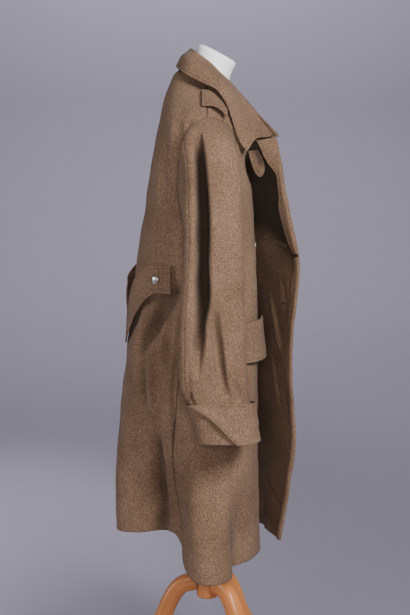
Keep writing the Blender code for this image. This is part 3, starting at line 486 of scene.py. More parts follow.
BODY = table(
    "z half_width back",
    (0.400, 0.298, 0.209), (0.460, 0.284, 0.212), (0.550, 0.262, 0.214), (0.660, 0.240, 0.207),
    (0.760, 0.225, 0.199), (0.860, 0.215, 0.188), (0.910, 0.212, 0.180), (0.960, 0.209, 0.170),
    (1.030, 0.204, 0.167), (1.100, 0.200, 0.158), (1.160, 0.196, 0.149), (1.250, 0.196, 0.135),
    (1.330, 0.202, 0.122), (1.380, 0.2095, 0.1115), (1.400, 0.2120, 0.1070), (1.410, 0.2080, 0.1050),
    (1.420, 0.1975, 0.1030), (1.432, 0.1800, 0.1005), (1.450, 0.1520, 0.0960), (1.470, 0.1200, 0.0900),
    (1.490, 0.0880, 0.0820), (1.507, 0.0700, 0.0750), (1.522, 0.0550, 0.0610),
)
EDGE = both(
    "z x y deep square",
    [
        (0.400, 0.050, -0.122, 0.135, 2.2), (0.550, 0.050, -0.116, 0.134, 2.6),
        (0.700, 0.050, -0.110, 0.133, 3.6), (0.850, 0.050, -0.108, 0.132, 4.4),
        (1.000, 0.048, -0.108, 0.131, 4.4), (1.080, 0.036, -0.108, 0.1265, 4.0),
        (1.150, 0.000, -0.112, 0.1210, 3.2), (1.200, -0.030, -0.111, 0.1140, 2.8),
        (1.250, -0.062, -0.106, 0.1070, 2.5), (1.285, -0.082, -0.0955, 0.0965, 2.45),
        (1.310, -0.092, -0.0905, 0.0915, 2.45), (1.335, -0.094, -0.0945, 0.0955, 2.2),
        (1.360, -0.089, -0.116, 0.1160, 1.5), (1.380, -0.087, -0.1255, 0.1255, 1.25),
        (1.405, -0.086, -0.111, 0.1110, 1.15), (1.463, -0.087, -0.060, 0.060, 1.35),
        (1.490, -0.086, -0.016, 0.016, 1.5),
    ], [
        (0.400, -0.064, -0.184, 0.137, 2.2), (0.547, -0.062, -0.206, 0.137, 2.5),
        (0.647, -0.060, -0.217, 0.137, 2.8), (0.722, -0.058, -0.212, 0.137, 3.0),
        (0.845, -0.056, -0.206, 0.137, 3.0), (0.967, -0.055, -0.215, 0.137, 2.9),
        (1.077, -0.050, -0.223, 0.137, 2.6), (1.110, -0.038, -0.217, 0.137, 2.5),
        (1.175, -0.008, -0.203, 0.138, 2.3), (1.264, 0.028, -0.189, 0.140, 1.8),
        (1.355, 0.068, -0.174, 0.145, 1.3), (1.405, 0.085, -0.120, 0.113, 1.15),
        (1.463, 0.087, -0.062, 0.060, 1.35), (1.490, 0.086, -0.016, 0.016, 1.5),
    ],
)
SKIRT_FOLDS = both(
    "hem_u top_u spread_u depth start flat",
    [
        (0.22, 0.24, 0.11, 0.008, 0.78, 2), (0.63, 0.68, 0.25, -0.104, 0.84, 3.2),
        (1.01, 0.99, 0.09, 0.018, 0.66, 2), (1.22, 1.18, 0.07, -0.034, 0.66, 2),
        (1.45, 1.42, 0.09, 0.010, 0.72, 2), (1.70, 1.66, 0.07, -0.010, 0.74, 2),
    ], [
        (0.24, 0.22, 0.11, 0.008, 0.76, 2), (0.60, 0.64, 0.24, -0.086, 0.82, 3.2),
        (0.98, 0.98, 0.10, 0.018, 0.66, 2), (1.20, 1.22, 0.07, -0.020, 0.66, 2),
        (1.42, 1.45, 0.09, 0.014, 0.74, 2),
    ],
)
HEM = table(
    "u z",
    (0.00, 0.425), (0.30, 0.434), (0.55, 0.448), (0.80, 0.405), (1.00, 0.378), (1.30, 0.382),
    (1.60, 0.396), (2.00, 0.402),
)
SIDE_SEAM = table(
    "z u",
    (0.4, 0.72), (0.6, 0.74), (0.8, 0.82), (0.98, 0.88), (1.1, 0.96), (1.16, 1.017),
)
ARMHOLE = table(
    "z back front",
    (1.160, -0.005, -0.005), (1.172, 0.028, -0.038), (1.200, 0.050, -0.064), (1.250, 0.061, -0.077),
    (1.300, 0.060, -0.077), (1.344, 0.043, -0.071), (1.381, 0.027, -0.059), (1.402, 0.011, -0.036),
    (1.410, -0.005, -0.005),
)


def plan(side, u, z):
    """The outline at a height, without folds."""
    sign, shape, edge = SIGN[side], look_up(BODY, z, "z"), look_up(EDGE[side], z, "z")
    edge_x, edge_y, deep = sign * edge["x"], -edge["y"], edge["deep"]
    angle = (1 - np.minimum(u, 1)) * math.pi / 2
    reach = superellipse(angle, shape["half_width"], shape["back"], BACK_SQUARE)
    turn = np.maximum(u - 1, 0)
    front_angle = turn * math.pi / 2
    front_reach = superellipse(front_angle, shape["half_width"] - edge_x, deep, edge["square"])
    behind = u <= 1
    x = np.where(behind, reach * np.cos(angle), edge_x + front_reach * np.cos(front_angle))
    swing = (edge_y - deep) * turn**FLARE
    y = np.where(behind, reach * np.sin(angle), -front_reach * np.sin(front_angle) - swing)
    return sign * x, y


def body(side, u, z):
    """A point of the coat's outer face, flutes and hem curve included."""
    u, z = np.broadcast_arrays(np.asarray(u, float), np.asarray(z, float))
    x, y = plan(side, u, z)
    ahead, behind = np.array(plan(side, u + SLOPE_STEP, z)), np.array(plan(side, u - SLOPE_STEP, z))
    tangent = unit(np.moveaxis(ahead - behind, 0, -1))
    moved = np.zeros_like(x)
    for hem_u, top_u, spread, depth, start, flat in zip(*SKIRT_FOLDS[side].values()):
        grown = ease(z, start, HEM_Z)
        moved = moved + depth * grown * bell(u - between(top_u, hem_u, grown), spread, flat)
    x = x - SIGN[side] * tangent[..., 1] * moved
    y = y + SIGN[side] * tangent[..., 0] * moved
    drop = np.clip((HEM_FADE_Z - z) / (HEM_FADE_Z - HEM_Z), 0, 1)
    low = z + (along(HEM["u"], HEM["z"], u) - HEM_Z) * drop**2
    return np.stack([x, y, low], axis=-1)


def u_at_y(side, y, z):
    """Where round the body a height has this y."""
    places = np.linspace(0, 2, SEARCH_STEPS)
    _, found = plan(side, places, np.full_like(places, z))
    return np.interp(-y, -found, places)


def panel_end(side, z, piece):
    """Where a back or front panel ends on its side: side seam, then armhole, then shoulder seam."""
    if z < ARM_LOW:
        u = along(SIDE_SEAM["z"], SIDE_SEAM["u"], np.array(z))
    elif z < ARM_TOP:
        u = u_at_y(side, along(ARMHOLE["z"], ARMHOLE[piece], np.array(z)), z)
    else:
        u = u_at_y(side, ARM_Y, z)
    stretch = np.linalg.norm(body(side, u + SLOPE_STEP, z) - body(side, u - SLOPE_STEP, z))
    pull = SEAM_GAP * SLOPE_STEP / stretch
    return u - pull if piece == "back" else u + pull


# %% [markdown]
# ## Creases of the body
# Each row is one crease: from where to where (round the body and up), how far it bows, how wide and
# how deep it is. The seen side follows the photo; the hidden side gets similar ones of its own.

# %% Creases of the body
BODY_CREASES = both(
    "from_u from_z to_u to_z bow width depth",
    [
        (0.62, 1.41, 0.67, 1.16, 0.004, 0.012, 0.0085), (0.75, 1.43, 0.745, 1.28, 0.002, 0.012, -0.0050),
        (0.90, 1.410, 0.89, 1.345, 0.001, 0.006, 0.0060), (0.70, 1.25, 0.72, 1.06, -0.004, 0.012, 0.0060),
        (0.86, 1.055, 0.42, 0.855, 0.006, 0.024, 0.0240),
        (0.84, 1.006, 0.36, 0.988, 0.002, 0.012, 0.0090),
        (0.66, 0.975, 0.40, 0.860, 0.004, 0.018, 0.0160), (0.475, 0.89, 0.52, 0.72, 0.003, 0.012, 0.0090),
        (0.575, 0.94, 0.60, 0.75, 0.002, 0.012, -0.0060), (0.72, 0.990, 0.75, 0.84, 0.002, 0.009, 0.0035),
        (0.81, 0.960, 0.78, 0.560, 0.002, 0.0060, 0.0045),
        (0.665, 0.76, 0.42, 0.270, 0.004, 0.014, 0.0170), (0.56, 0.87, 0.50, 0.64, 0.004, 0.012, 0.0060),
        (0.66, 0.90, 0.635, 0.66, -0.003, 0.010, 0.0065), (0.76, 0.99, 0.72, 0.78, 0.003, 0.009, 0.0060),
        (0.46, 0.84, 0.43, 0.66, 0.003, 0.010, 0.0040), (0.39, 0.62, 0.43, 0.45, 0.003, 0.008, 0.0050),
        (0.60, 0.68, 0.645, 0.52, 0.003, 0.008, 0.0060), (0.67, 0.67, 0.645, 0.52, -0.002, 0.007, 0.0040),
        (1.145, 0.76, 1.155, 0.36, 0.001, 0.006, 0.0040), (1.05, 0.70, 0.99, 0.44, 0.004, 0.012, 0.0030),
        (1.60, 0.90, 1.66, 0.60, 0.004, 0.014, 0.0040),
    ], [
        (0.60, 1.40, 0.66, 1.14, 0.004, 0.015, 0.0050), (0.88, 1.405, 0.88, 1.35, 0.001, 0.007, 0.0050),
        (0.68, 1.22, 0.70, 1.05, -0.004, 0.012, 0.0060), (0.82, 1.045, 0.46, 0.87, 0.006, 0.022, 0.0180),
        (0.52, 0.84, 0.47, 0.60, -0.005, 0.013, 0.0060), (0.65, 0.74, 0.43, 0.280, 0.004, 0.014, 0.0150),
        (0.80, 0.940, 0.775, 0.590, 0.002, 0.0050, 0.0050),
        (0.44, 0.90, 0.50, 0.74, 0.003, 0.014, 0.0070), (0.68, 0.88, 0.66, 0.68, 0.003, 0.011, 0.0055),
        (0.40, 0.57, 0.46, 0.44, 0.003, 0.010, 0.0040), (1.10, 0.68, 1.14, 0.42, 0.004, 0.010, 0.0035),
        (1.50, 1.000, 1.86, 0.830, 0.004, 0.008, 0.0080),
        (1.62, 0.850, 1.79, 0.715, 0.003, 0.008, -0.0065),
        (1.74, 1.040, 1.84, 0.930, -0.003, 0.010, -0.0050),
        (1.38, 0.535, 2.02, 0.455, 0.003, 0.010, -0.0055),
        (1.36, 0.465, 1.82, 0.405, 0.002, 0.008, -0.0055), (1.93, 1.20, 1.94, 0.62, 0.000, 0.008, 0.0050),
    ],
)
BODY_WAVES = 0.0011, 0.06, 0.16, 4          # height, shortest, longest, seed
FOLD_DARK, FOLD_LEAST, FOLD_DEEP = 0.48, 0.004, 0.016      # painted shade grows between these depths


def body_relief(side, u, z, points):
    return creases(u, z, BODY_CREASES[side], ACROSS) + unevenness(points, *BODY_WAVES)


# Painted shade in the deepest folds.
def fold_shade(relief):
    return FOLD_DARK * ease(-relief, FOLD_LEAST, FOLD_DEEP)


print("creases", {side: len(rows["depth"]) for side, rows in BODY_CREASES.items()})


# %% [markdown]
# ## The back
# One panel from nape to hem, drawn here as two halves that share their middle column.

# %% Back
BACK_CELLS, PANEL_ROWS, BACK_DENSER, BACK_BLEND = 80, 180, 1.5, 0.12
BUTTONHOLE_ROWS, BUTTONHOLE_REACH, BUTTONHOLE_CLEAR = 9, 0.006, 1.2
BUTTON_HEIGHTS, BUTTON_X = (1.110, 0.970, 0.830), {RIGHT: 0.030, LEFT: 0.088}
holes = np.array(BUTTON_HEIGHTS)
heights = between(HEM_Z, NECK_POINT_Z, closer(PANEL_ROWS, 0.2))
heights = heights[np.abs(heights[:, None] - holes).min(axis=1) > BUTTONHOLE_CLEAR * BUTTONHOLE_REACH]
finer = holes[:, None] + np.linspace(-1, 1, BUTTONHOLE_ROWS) * BUTTONHOLE_REACH
heights = np.sort(np.concatenate([heights, finer.ravel()]))
halves, relief = {}, {}


def panel_ends(side, piece):
    return np.array([panel_end(side, z, piece) for z in heights])[:, None]


for side in (RIGHT, LEFT):
    ends = panel_ends(side, "back")
    u = ends * (1 - (1 - np.linspace(0, 1, BACK_CELLS + 1)) ** BACK_DENSER)
    rise = np.maximum(heights - ARM_TOP, 0)[:, None] / (NECK_POINT_Z - ARM_TOP)
    z = heights[:, None] + rise * (NAPE_Z - NECK_POINT_Z) * (1 - (u / ends) ** NAPE_CURVE)
    halves[side] = body(side, u, z)
    relief[side] = body_relief(side, u, z, halves[side])
middle = (relief[RIGHT][:, :1] + relief[LEFT][:, :1]) / 2
blend = ease(u / BACK_BLEND)          # both halves meet in the same creases
relief = {side: middle * (1 - blend) + relief[side] * blend for side in relief}
smooth_back, folds = (
    np.concatenate([two[RIGHT][:, ::-1], two[LEFT][:, 1:]], axis=1) for two in (halves, relief)
)
pressed = press(smooth_back, -1, folds, fold_shade(folds), seams=("first", "last", "top"))
sew("back", pressed, free=("low",))

# %% [markdown]
# ## The fronts
# Each front runs from its side seam to its edge. The left one is seen from inside: below the break its
# edge is rolled in as a narrow lip, its hem is stitched, and its buttonholes have raised rims.

# %% Fronts
FRONT_CELLS = 100
LIP_RADIUS, LIP_BEND, LIP_WIDTH, LIP_TOP, LIP_FADE = 0.0042, 165.0, 0.0070, 1.0905, 0.009
LIP_ARC, LIP_FLAT, LIP_LEAST, LIP_STITCH_IN = 10, 5, 0.00001, 0.004
HOLE_NEAR, HOLE_FAR, HOLE_HALF_HEIGHT, HOLE_POINTS = 0.044, 0.090, 0.0026, 60
HOLE_MIDDLE, HOLE_SLANT, HOLE_DARK = (HOLE_NEAR + HOLE_FAR) / 2, 0.16, 0.0019
HOLE_SQUARE, HOLE_FLAT = 0.4, 4            # how square the rim's ends are, and how even the slit's painted shade
HEM_STITCH_IN, HEM_STITCH_FROM = 0.011, FRONT_CELLS // 3
INSIDE_DARK, INSIDE_LOW, INSIDE_FADE = 0.92, 1.035, 0.06      # painted shade on the chest's inside, where no light reaches
INSIDE_SLANT, INSIDE_FAR = 0.55, 0.12                         # and that painted shade comes lowest at the edge
BEFORE_EDGE = -4          # the column that the edge's direction is taken from
fronts = {}


def roll(edge, ahead, inward, radius, bend, width, arc, flat):
    """Columns of a cloth edge that turns inwards round a radius and then runs straight."""
    columns = []
    for share in np.linspace(0, 1, arc + 1):
        angle = (bend * share)[:, None]
        columns.append(edge + radius[:, None] * (inward + np.sin(angle) * ahead - np.cos(angle) * inward))
    back = np.cos(bend)[:, None] * ahead + np.sin(bend)[:, None] * inward
    for share in np.linspace(0, 1, flat + 1)[1:]:
        columns.append(columns[arc] + share * width[:, None] * back)
    return np.stack(columns, axis=1)


def square_to(ahead, normal):
    """A direction made square to a normal."""
    return unit(ahead - np.sum(ahead * normal, axis=-1, keepdims=True) * normal)


def buttonhole(face, far, z):
    """The rim of a slit across the cloth at a height, as a closed line on the face."""
    angle = np.linspace(0, 2 * math.pi, HOLE_POINTS)
    off = HOLE_MIDDLE + (HOLE_FAR - HOLE_NEAR) / 2 * np.cos(angle)
    level = z + HOLE_SLANT * (off - HOLE_MIDDLE)
    level += HOLE_HALF_HEIGHT * np.sign(np.sin(angle)) * np.abs(np.sin(angle)) ** HOLE_SQUARE
    line = []
    for a, b in zip(off, level):
        row = int(np.clip(np.searchsorted(heights, b) - 1, 0, len(heights) - 2))
        share = (b - heights[row]) / (heights[row + 1] - heights[row])
        ends = np.array([
            [np.interp(a, far[k, ::-1], face[k, ::-1, axis]) for axis in range(3)] for k in (row, row + 1)
        ])
        line.append(ends[0] * (1 - share) + ends[1] * share)
    return np.array(line)


def left_front(points, normals, dark):
    """Adds the left front's lip, buttonholes and hem: what add_cloth needs, and the buttonholes' rims."""
    far, z = distances(points)["last"], heights[:, None]
    # Painted shade fills each buttonhole's slit.
    for hole in BUTTON_HEIGHTS:
        off_slit = z - hole - HOLE_SLANT * (far - HOLE_MIDDLE)
        along_it = (far > HOLE_NEAR) & (far < HOLE_FAR)
        dark = np.maximum(dark, along_it * bell(off_slit, HOLE_DARK, HOLE_FLAT))
    inside = points - CLOTH * normals
    rims = [buttonhole(inside - THREAD_LIFT * normals, far, hole) for hole in BUTTON_HEIGHTS]
    hem, hem_away = inside[:, HEM_STITCH_FROM:], -normals[:, HEM_STITCH_FROM:]
    lines = [stitch_line(hem, hem_away, "low", HEM_STITCH_IN)]
    grown = ease((LIP_TOP - heights) / LIP_FADE)
    ahead = square_to(points[:, -1] - points[:, BEFORE_EDGE], normals[:, -1])
    lip = roll(points[:, -1], ahead, -normals[:, -1], LIP_RADIUS * grown, np.radians(LIP_BEND) * grown,
               LIP_WIDTH * grown + LIP_LEAST, LIP_ARC, LIP_FLAT)
    lip += LIP_LEAST * np.arange(lip.shape[1])[None, :, None] * ahead[:, None]
    points = np.concatenate([points, lip[:, 1:]], axis=1)
    normals = grid_normals(points, -SIGN[LEFT])
    dark, far = (np.pad(values, ((0, 0), (0, lip.shape[1] - 1))) for values in (dark, far))
    # Painted shade on the inner face of the chest.
    shade_z = INSIDE_LOW + INSIDE_SLANT * np.minimum(far, INSIDE_FAR)
    inner_dark = np.maximum(dark, INSIDE_DARK * ease((z - shade_z) / INSIDE_FADE))
    below = heights < LIP_TOP - LIP_FADE
    lines.append(stitch_line(points[below], normals[below], "last", LIP_STITCH_IN))
    return (points, normals, dark), {"lines": lines, "inner_dark": inner_dark}, rims


for side in (RIGHT, LEFT):
    ends = panel_ends(side, "front")
    u, z = np.broadcast_arrays(between(ends, 2.0, closer(FRONT_CELLS)), heights[:, None])
    flat_front = body(side, u, z)
    folds = body_relief(side, u, z, flat_front)
    grid = press(flat_front, -SIGN[side], folds, fold_shade(folds), seams=("first", "top"),
                 edges=("last",) if side == RIGHT else ())
    fronts[side], extra = grid[:2], {}
    if side == LEFT:
        grid, extra, rims = left_front(*grid)
    add_cloth(f"front_{side}", *grid, free=("last", "low"), **extra)
add_stitches("stitched_buttonholes", rims, BUTTONHOLE)

# %% [markdown]
# ## Lapels
# A lapel is the front's own cloth. The right one is crushed into a tongue that hangs from under the
# collar's end; the left one is rolled inwards, so that its lit back and its stitched edge are seen.

# %% Lapels
LAPEL_RIGHT = table(
    "back_y back_z front_y front_z x",
    (-0.0975, 1.3330, -0.1180, 1.3360, -0.146), (-0.1030, 1.3120, -0.1290, 1.3150, -0.142),
    (-0.1100, 1.2930, -0.1340, 1.2960, -0.136), (-0.1190, 1.2740, -0.1330, 1.2770, -0.128),
)
LAPEL_TURN, TONGUE_BOW, TONGUE_ROUND, TONGUE_TIP = 0.004, 0.0015, 0.22, 0.96
TONGUE_DARK = 0.80        # painted shadow, where the collar's end keeps the light off the tongue's front upper part
DARK_FROM, DARK_OVER, DARK_DOWN_TO, DARK_FADE = 0.30, 0.45, 0.85, 0.50      # shares across and down it
LAPEL_LEFT = table(
    "z width radius bend",
    (1.092, 0.0075, 0.0045, 165.0), (1.115, 0.0160, 0.0065, 165.0), (1.140, 0.0200, 0.0065, 165.0),
    (1.195, 0.0220, 0.0065, 165.0), (1.228, 0.0130, 0.0065, 165.0), (1.268, 0.0100, 0.0065, 158.0),
    (1.300, 0.0260, 0.0065, 132.0), (1.357, 0.0460, 0.0065, 112.0),
)
LAPEL_ARC, LAPEL_FLAT, LAPEL_GAP = 16, 14, 0.0020      # the gap clears the front's rounded rim
LAPEL_RISE, LAPEL_RISE_FROM = 0.010, 1.310              # its upper corner reaches up to the collar
LAPEL_ROWS, LAPEL_COLUMNS = 70, 26
LAPEL_WAVES = 0.0005, 0.03, 0.08, 6

s = closer(LAPEL_ROWS // 2, 0.4)[:, None]
at = look_up(LAPEL_RIGHT, s)
narrow = np.sqrt(1 - np.clip((s - 1 + TONGUE_ROUND) / TONGUE_ROUND, 0, TONGUE_TIP) ** 2)
w = 0.5 + (closer(LAPEL_COLUMNS, 0.4) - 0.5) * narrow
tongue = np.stack(np.broadcast_arrays(
    at["x"] + LAPEL_TURN * (1 - w) - TONGUE_BOW * np.sin(math.pi * w),
    between(at["back_y"], at["front_y"], w),
    between(at["back_z"], at["front_z"], w),
), axis=-1)[::-1]
turn = -np.sign(grid_normals(tongue, 1)[LAPEL_ROWS // 4, LAPEL_COLUMNS // 2, 0])
# The tongue's painted shadow.
shaded = TONGUE_DARK * ease((w - DARK_FROM) / DARK_OVER) * ease((DARK_DOWN_TO - s) / DARK_FADE)
pressed = press(tongue, turn, shade=shaded[::-1], edges=("first", "last"))
sew("lapel_right", pressed, free=("first", "last", "low"), held="folded",
    rests_on=("collar", "front_right"))

z = between(LAPEL_LEFT["z"][0], LAPEL_LEFT["z"][-1], closer(LAPEL_ROWS, 0.3))
points, normals = fronts[LEFT]
edge, before, outward = (
    np.stack([np.interp(z, heights, rim[:, axis]) for axis in range(3)], axis=-1)
    for rim in (points[:, -1], points[:, BEFORE_EDGE], normals[:, -1])
)
inward = -unit(outward)
ahead = square_to(edge - before, inward)
at = look_up(LAPEL_LEFT, z, "z")
rolled = roll(edge + LAPEL_GAP * ahead, ahead, inward, at["radius"], np.radians(at["bend"]), at["width"],
              LAPEL_ARC, LAPEL_FLAT)
upper = ease(z, LAPEL_RISE_FROM, z[-1])[:, None]
rolled[..., 2] += LAPEL_RISE * upper * ease(np.linspace(0, 2, rolled.shape[1]))
pressed = press(rolled, -SIGN[LEFT], unevenness(rolled, *LAPEL_WAVES), edges=("last",))
sew("lapel_left", pressed, stitched=("last",), free=("last", "top", "low"), held="folded",
    rests_on=("front_left",))

# %% [markdown]
# ## Sleeves
# A sleeve is two pieces, an upper and an under one, joined along seams in front and behind. An empty
# sleeve collapses: its outside sinks into one long groove whose front lip leans over it, and smaller
# folds gather above the cuff.

# %% Measures of the sleeve
SLEEVE = table(
    "row outer_x outer_z inner_x inner_z front back",
    (0, 0.238, 1.400, 0.206, 1.150, -0.076, 0.060), (1, 0.268, 1.372, 0.214, 1.136, -0.079, 0.056),
    (2, 0.291, 1.325, 0.220, 1.112, -0.081, 0.050), (3, 0.307, 1.250, 0.226, 1.072, -0.083, 0.046),
    (4, 0.319, 1.150, 0.232, 1.020, -0.084, 0.045), (5, 0.328, 1.040, 0.238, 0.955, -0.086, 0.050),
    (6, 0.334, 0.930, 0.243, 0.883, -0.089, 0.056), (7, 0.338, 0.840, 0.247, 0.816, -0.095, 0.055),
    (8, 0.340, 0.770, 0.249, 0.760, -0.104, 0.024), (9, 0.341, 0.706, 0.250, 0.703, -0.114, 0.013),
)
SLEEVE_SQUARE, BACK_CORNER, ARMHOLE_BLEND, FOLD_FADE = 2.5, 1.6, 2.0, 0.4
SLEEVE_STANDOFF, UNDERARM_STANDOFF = 0.0024, 0.0045
UNDERARM_FROM, UNDERARM_RISE = 0.3, 1.3      # the second grows from below the armhole's middle
SLEEVE_FOLDS = (
    table(
        "z y depth spread",
        (0.850, 0.019, 0.000, 0.010), (0.890, 0.015, 0.014, 0.012), (0.964, 0.006, 0.033, 0.015),
        (1.023, 0.000, 0.046, 0.017), (1.168, 0.000, 0.048, 0.018), (1.300, 0.006, 0.040, 0.015),
        (1.350, 0.012, 0.020, 0.012), (1.385, 0.018, 0.000, 0.010),
    ),
    table(
        "z y depth spread",
        (0.805, -0.042, 0.000, 0.014), (0.850, -0.036, 0.009, 0.014), (0.900, -0.030, 0.011, 0.014),
        (1.010, -0.020, 0.000, 0.013),
    ),
)
FOLD_FLAT = 4                                             # how flat the hollows' floors are
LIP_LEAN, LIP_AHEAD, LIP_SPREAD = 0.20, 0.003, 0.009      # the groove's front lip leans over it
BACK_SEAM_TURN, FRONT_SEAM_TURN = 135.0, -42.0            # degrees, 0 in front, 90 outside
SLEEVE_ROWS, TOP_COLUMNS, UNDER_COLUMNS = 150, 130, 60
GROOVE_TURN, GROOVE_REACH, GROOVE_FINER = 98.0, 24.0, 3.0     # the mesh is finer round the groove


def armhole(side, turn):
    """The armhole's outline, turn in degrees: 0 in front, 90 at the shoulder, -90 under the arm."""
    angle = np.radians(turn)
    z = (ARM_TOP + ARM_LOW) / 2 + (ARM_TOP - ARM_LOW) / 2 * np.sin(angle)
    at = look_up(ARMHOLE, z, "z")
    y = np.where(np.cos(angle) < 0, at["back"], at["front"])
    u = np.array([u_at_y(side, *pair) for pair in zip(y.ravel(), z.ravel())]).reshape(y.shape)
    x, _ = plan(side, u, z)
    out = SLEEVE_STANDOFF + UNDERARM_STANDOFF * ease(-UNDERARM_FROM - np.sin(angle) * UNDERARM_RISE)
    return np.stack([x + SIGN[side] * out, y, z], axis=-1)


def sleeve(side, turn, row, strength=1.0):
    """The sleeve's outer face: turn round it, row down its table (-1 is the armhole)."""
    rim = armhole(side, turn)
    turn, row = np.broadcast_arrays(np.asarray(turn, float), np.asarray(row, float))
    at = look_up(SLEEVE, row, "row")
    angle = np.radians(turn)
    corner = ease(-2 * np.cos(angle)) * ease(2 * np.sin(angle))
    reach = superellipse(angle, 1.0, 1.0, SLEEVE_SQUARE + BACK_CORNER * corner)
    forward, outward = reach * np.cos(angle), reach * np.sin(angle)
    x, z, y = (
        (at[one] + at[other]) / 2 + (at[one] - at[other]) / 2 * share
        for one, other, share in (
            ("outer_x", "inner_x", outward), ("outer_z", "inner_z", outward), ("front", "back", forward)
        )
    )
    share = ease((row + 1) / ARMHOLE_BLEND)[..., None]
    points = rim * (1 - share) + np.stack([SIGN[side] * x, y, z], axis=-1) * share
    outside = ease(np.sin(angle) / FOLD_FADE) * share[..., 0] * strength
    pressed, leaning = np.zeros_like(x), np.zeros_like(x)
    for fold in SLEEVE_FOLDS:
        at = look_up(fold, points[..., 2], "z")
        off = points[..., 1] - at["y"]
        pressed += at["depth"] * bell(off, at["spread"], FOLD_FLAT)
        leaning += LIP_LEAN * at["depth"] * bell(off + at["spread"] + LIP_AHEAD, LIP_SPREAD)
    points[..., 0] -= SIGN[side] * pressed * outside
    points[..., 1] += leaning * outside
    return points


# %% Sleeves
SLEEVE_CREASES = both(
    "from_y from_z to_y to_z bow width depth",
    [
        (-0.060, 0.856, -0.075, 0.792, 0.002, 0.006, 0.0065),
        (-0.014, 1.045, -0.048, 0.780, -0.004, 0.008, 0.0070),
        (0.022, 1.120, 0.030, 0.940, 0.003, 0.008, 0.0030),
        (-0.050, 1.360, -0.058, 1.200, 0.003, 0.012, 0.0030),
        (0.038, 0.826, 0.022, 0.786, 0.001, 0.004, 0.0045),
        (0.024, 0.830, 0.040, 0.790, 0.001, 0.004, 0.0040),
        (0.030, 0.890, 0.038, 0.815, -0.002, 0.006, 0.0035),
        (-0.030, 1.395, -0.036, 1.340, 0.001, 0.007, 0.0025),
    ], [
        (-0.058, 0.870, -0.076, 0.806, 0.002, 0.007, 0.0060),
        (-0.012, 1.020, -0.044, 0.790, -0.003, 0.008, 0.0060),
        (0.024, 1.080, 0.030, 0.930, 0.003, 0.008, 0.0030),
        (-0.046, 1.330, -0.056, 1.150, 0.003, 0.012, 0.0030),
        (0.024, 0.826, 0.012, 0.792, 0.001, 0.005, 0.0030),
        (-0.026, 1.395, -0.034, 1.330, 0.001, 0.007, 0.0025),
    ],
)
FOLD_STRENGTH = {RIGHT: 1.0, LEFT: 0.8}          # the hidden sleeve's hollows are a little shallower
# Painted shade along the floor of the sleeve's groove, growing with its depth.
GROOVE_DARK, GROOVE_LEAST, GROOVE_DEEP = 0.90, 0.006, 0.036
SLEEVE_WAVES = 0.0009, 0.05, 0.13, 9
SEAM_PULL_RADIUS, SWEEP_STEPS = 0.06, 600
rows = (-1 + len(SLEEVE["row"]) * closer(SLEEVE_ROWS, 0.5))[::-1, None]
pull = math.degrees(SEAM_GAP / SEAM_PULL_RADIUS)
sweep = np.linspace(FRONT_SEAM_TURN + pull, BACK_SEAM_TURN - pull, SWEEP_STEPS)
finer = np.cumsum(1 + GROOVE_FINER * bell(sweep - GROOVE_TURN, GROOVE_REACH))
finer = (finer - finer[0]) / (finer[-1] - finer[0])
under_sweep = 360 + FRONT_SEAM_TURN - BACK_SEAM_TURN - 2 * pull
turns = {
    "top": np.interp(closer(TOP_COLUMNS, 0.4), finer, sweep),
    "under": BACK_SEAM_TURN + pull + under_sweep * closer(UNDER_COLUMNS),
}
for side in (RIGHT, LEFT):
    for piece, turn in turns.items():
        plain = sleeve(side, turn[None, :], rows, FOLD_STRENGTH[side])
        outside = ease(np.sin(np.radians(turn)) / FOLD_FADE)[None, :]
        hollow = SIGN[side] * (sleeve(side, turn[None, :], rows, 0.0) - plain)[..., 0]
        groove = GROOVE_DARK * ease(hollow, GROOVE_LEAST, GROOVE_DEEP)
        relief = creases(plain[..., 1], plain[..., 2], SLEEVE_CREASES[side]) * outside
        relief += unevenness(plain, *SLEEVE_WAVES)
        pressed = press(plain, SIGN[side], relief, groove, faint=("first", "last", "top"))
        sew(f"sleeve_{piece}_{side}", pressed, free=("low",), rests_on=("back", f"front_{side}"))

# %% [markdown]
# ## Cuffs
# The cuff is turned back on the sleeve. Its slanted edge laps over an under layer, and its top edge
# stands a little off the sleeve and throws a shadow there.

# %% Cuffs
CUFF_TOP_ROW, CUFF_LOW_ROW = 7.62, 8.985
CUFF_EDGE_TOP, CUFF_EDGE_LOW, CUFF_UNDER = 134.0, 74.0, 58.0
CUFF_OUT, CUFF_IN, CUFF_STAND_OFF = 0.0090, 0.0046, 0.0040
CUFF_EDGE_LIFT, CUFF_EDGE_REACH = 0.0055, 0.020      # the slanted edge stands off its under layer
CUFF_ROWS, CUFF_COLUMNS = 40, 190
CUFF_WAVES = 0.0006, 0.03, 0.08, 5
ALL_ROUND = ("first", "last", "low", "top")
EDGES = ("first", "top")
for side in (RIGHT, LEFT):
    w, h = closer(CUFF_COLUMNS, 0.5)[None, :], closer(CUFF_ROWS)[:, None]
    edge = between(CUFF_EDGE_LOW, CUFF_EDGE_TOP, h)
    turn = edge - w * (360 + edge - CUFF_UNDER)
    row = between(CUFF_LOW_ROW, CUFF_TOP_ROW, h) + 0 * w
    under = sleeve(side, turn, row, 0.0)
    away = grid_normals(under, -SIGN[side])
    rise = between(CUFF_OUT, CUFF_IN, w) + CUFF_STAND_OFF * h
    flat_cuff = under + rise[..., None] * away
    relief = CUFF_EDGE_LIFT * bell(distances(flat_cuff)["first"], CUFF_EDGE_REACH)
    relief += unevenness(flat_cuff, *CUFF_WAVES)
    sew(f"cuff_{side}", press(flat_cuff, -SIGN[side], relief, away=away, edges=EDGES), stitched=EDGES,
        free=ALL_ROUND, thickness=DOUBLE_CLOTH, held="folded",
        rests_on=(f"sleeve_top_{side}", f"sleeve_under_{side}"))

# %% [markdown]
# ## Collar
# Stand and fall are one piece here: it rises from the neck seam, rolls over a soft fold and falls to a
# stitched outer edge with long points.

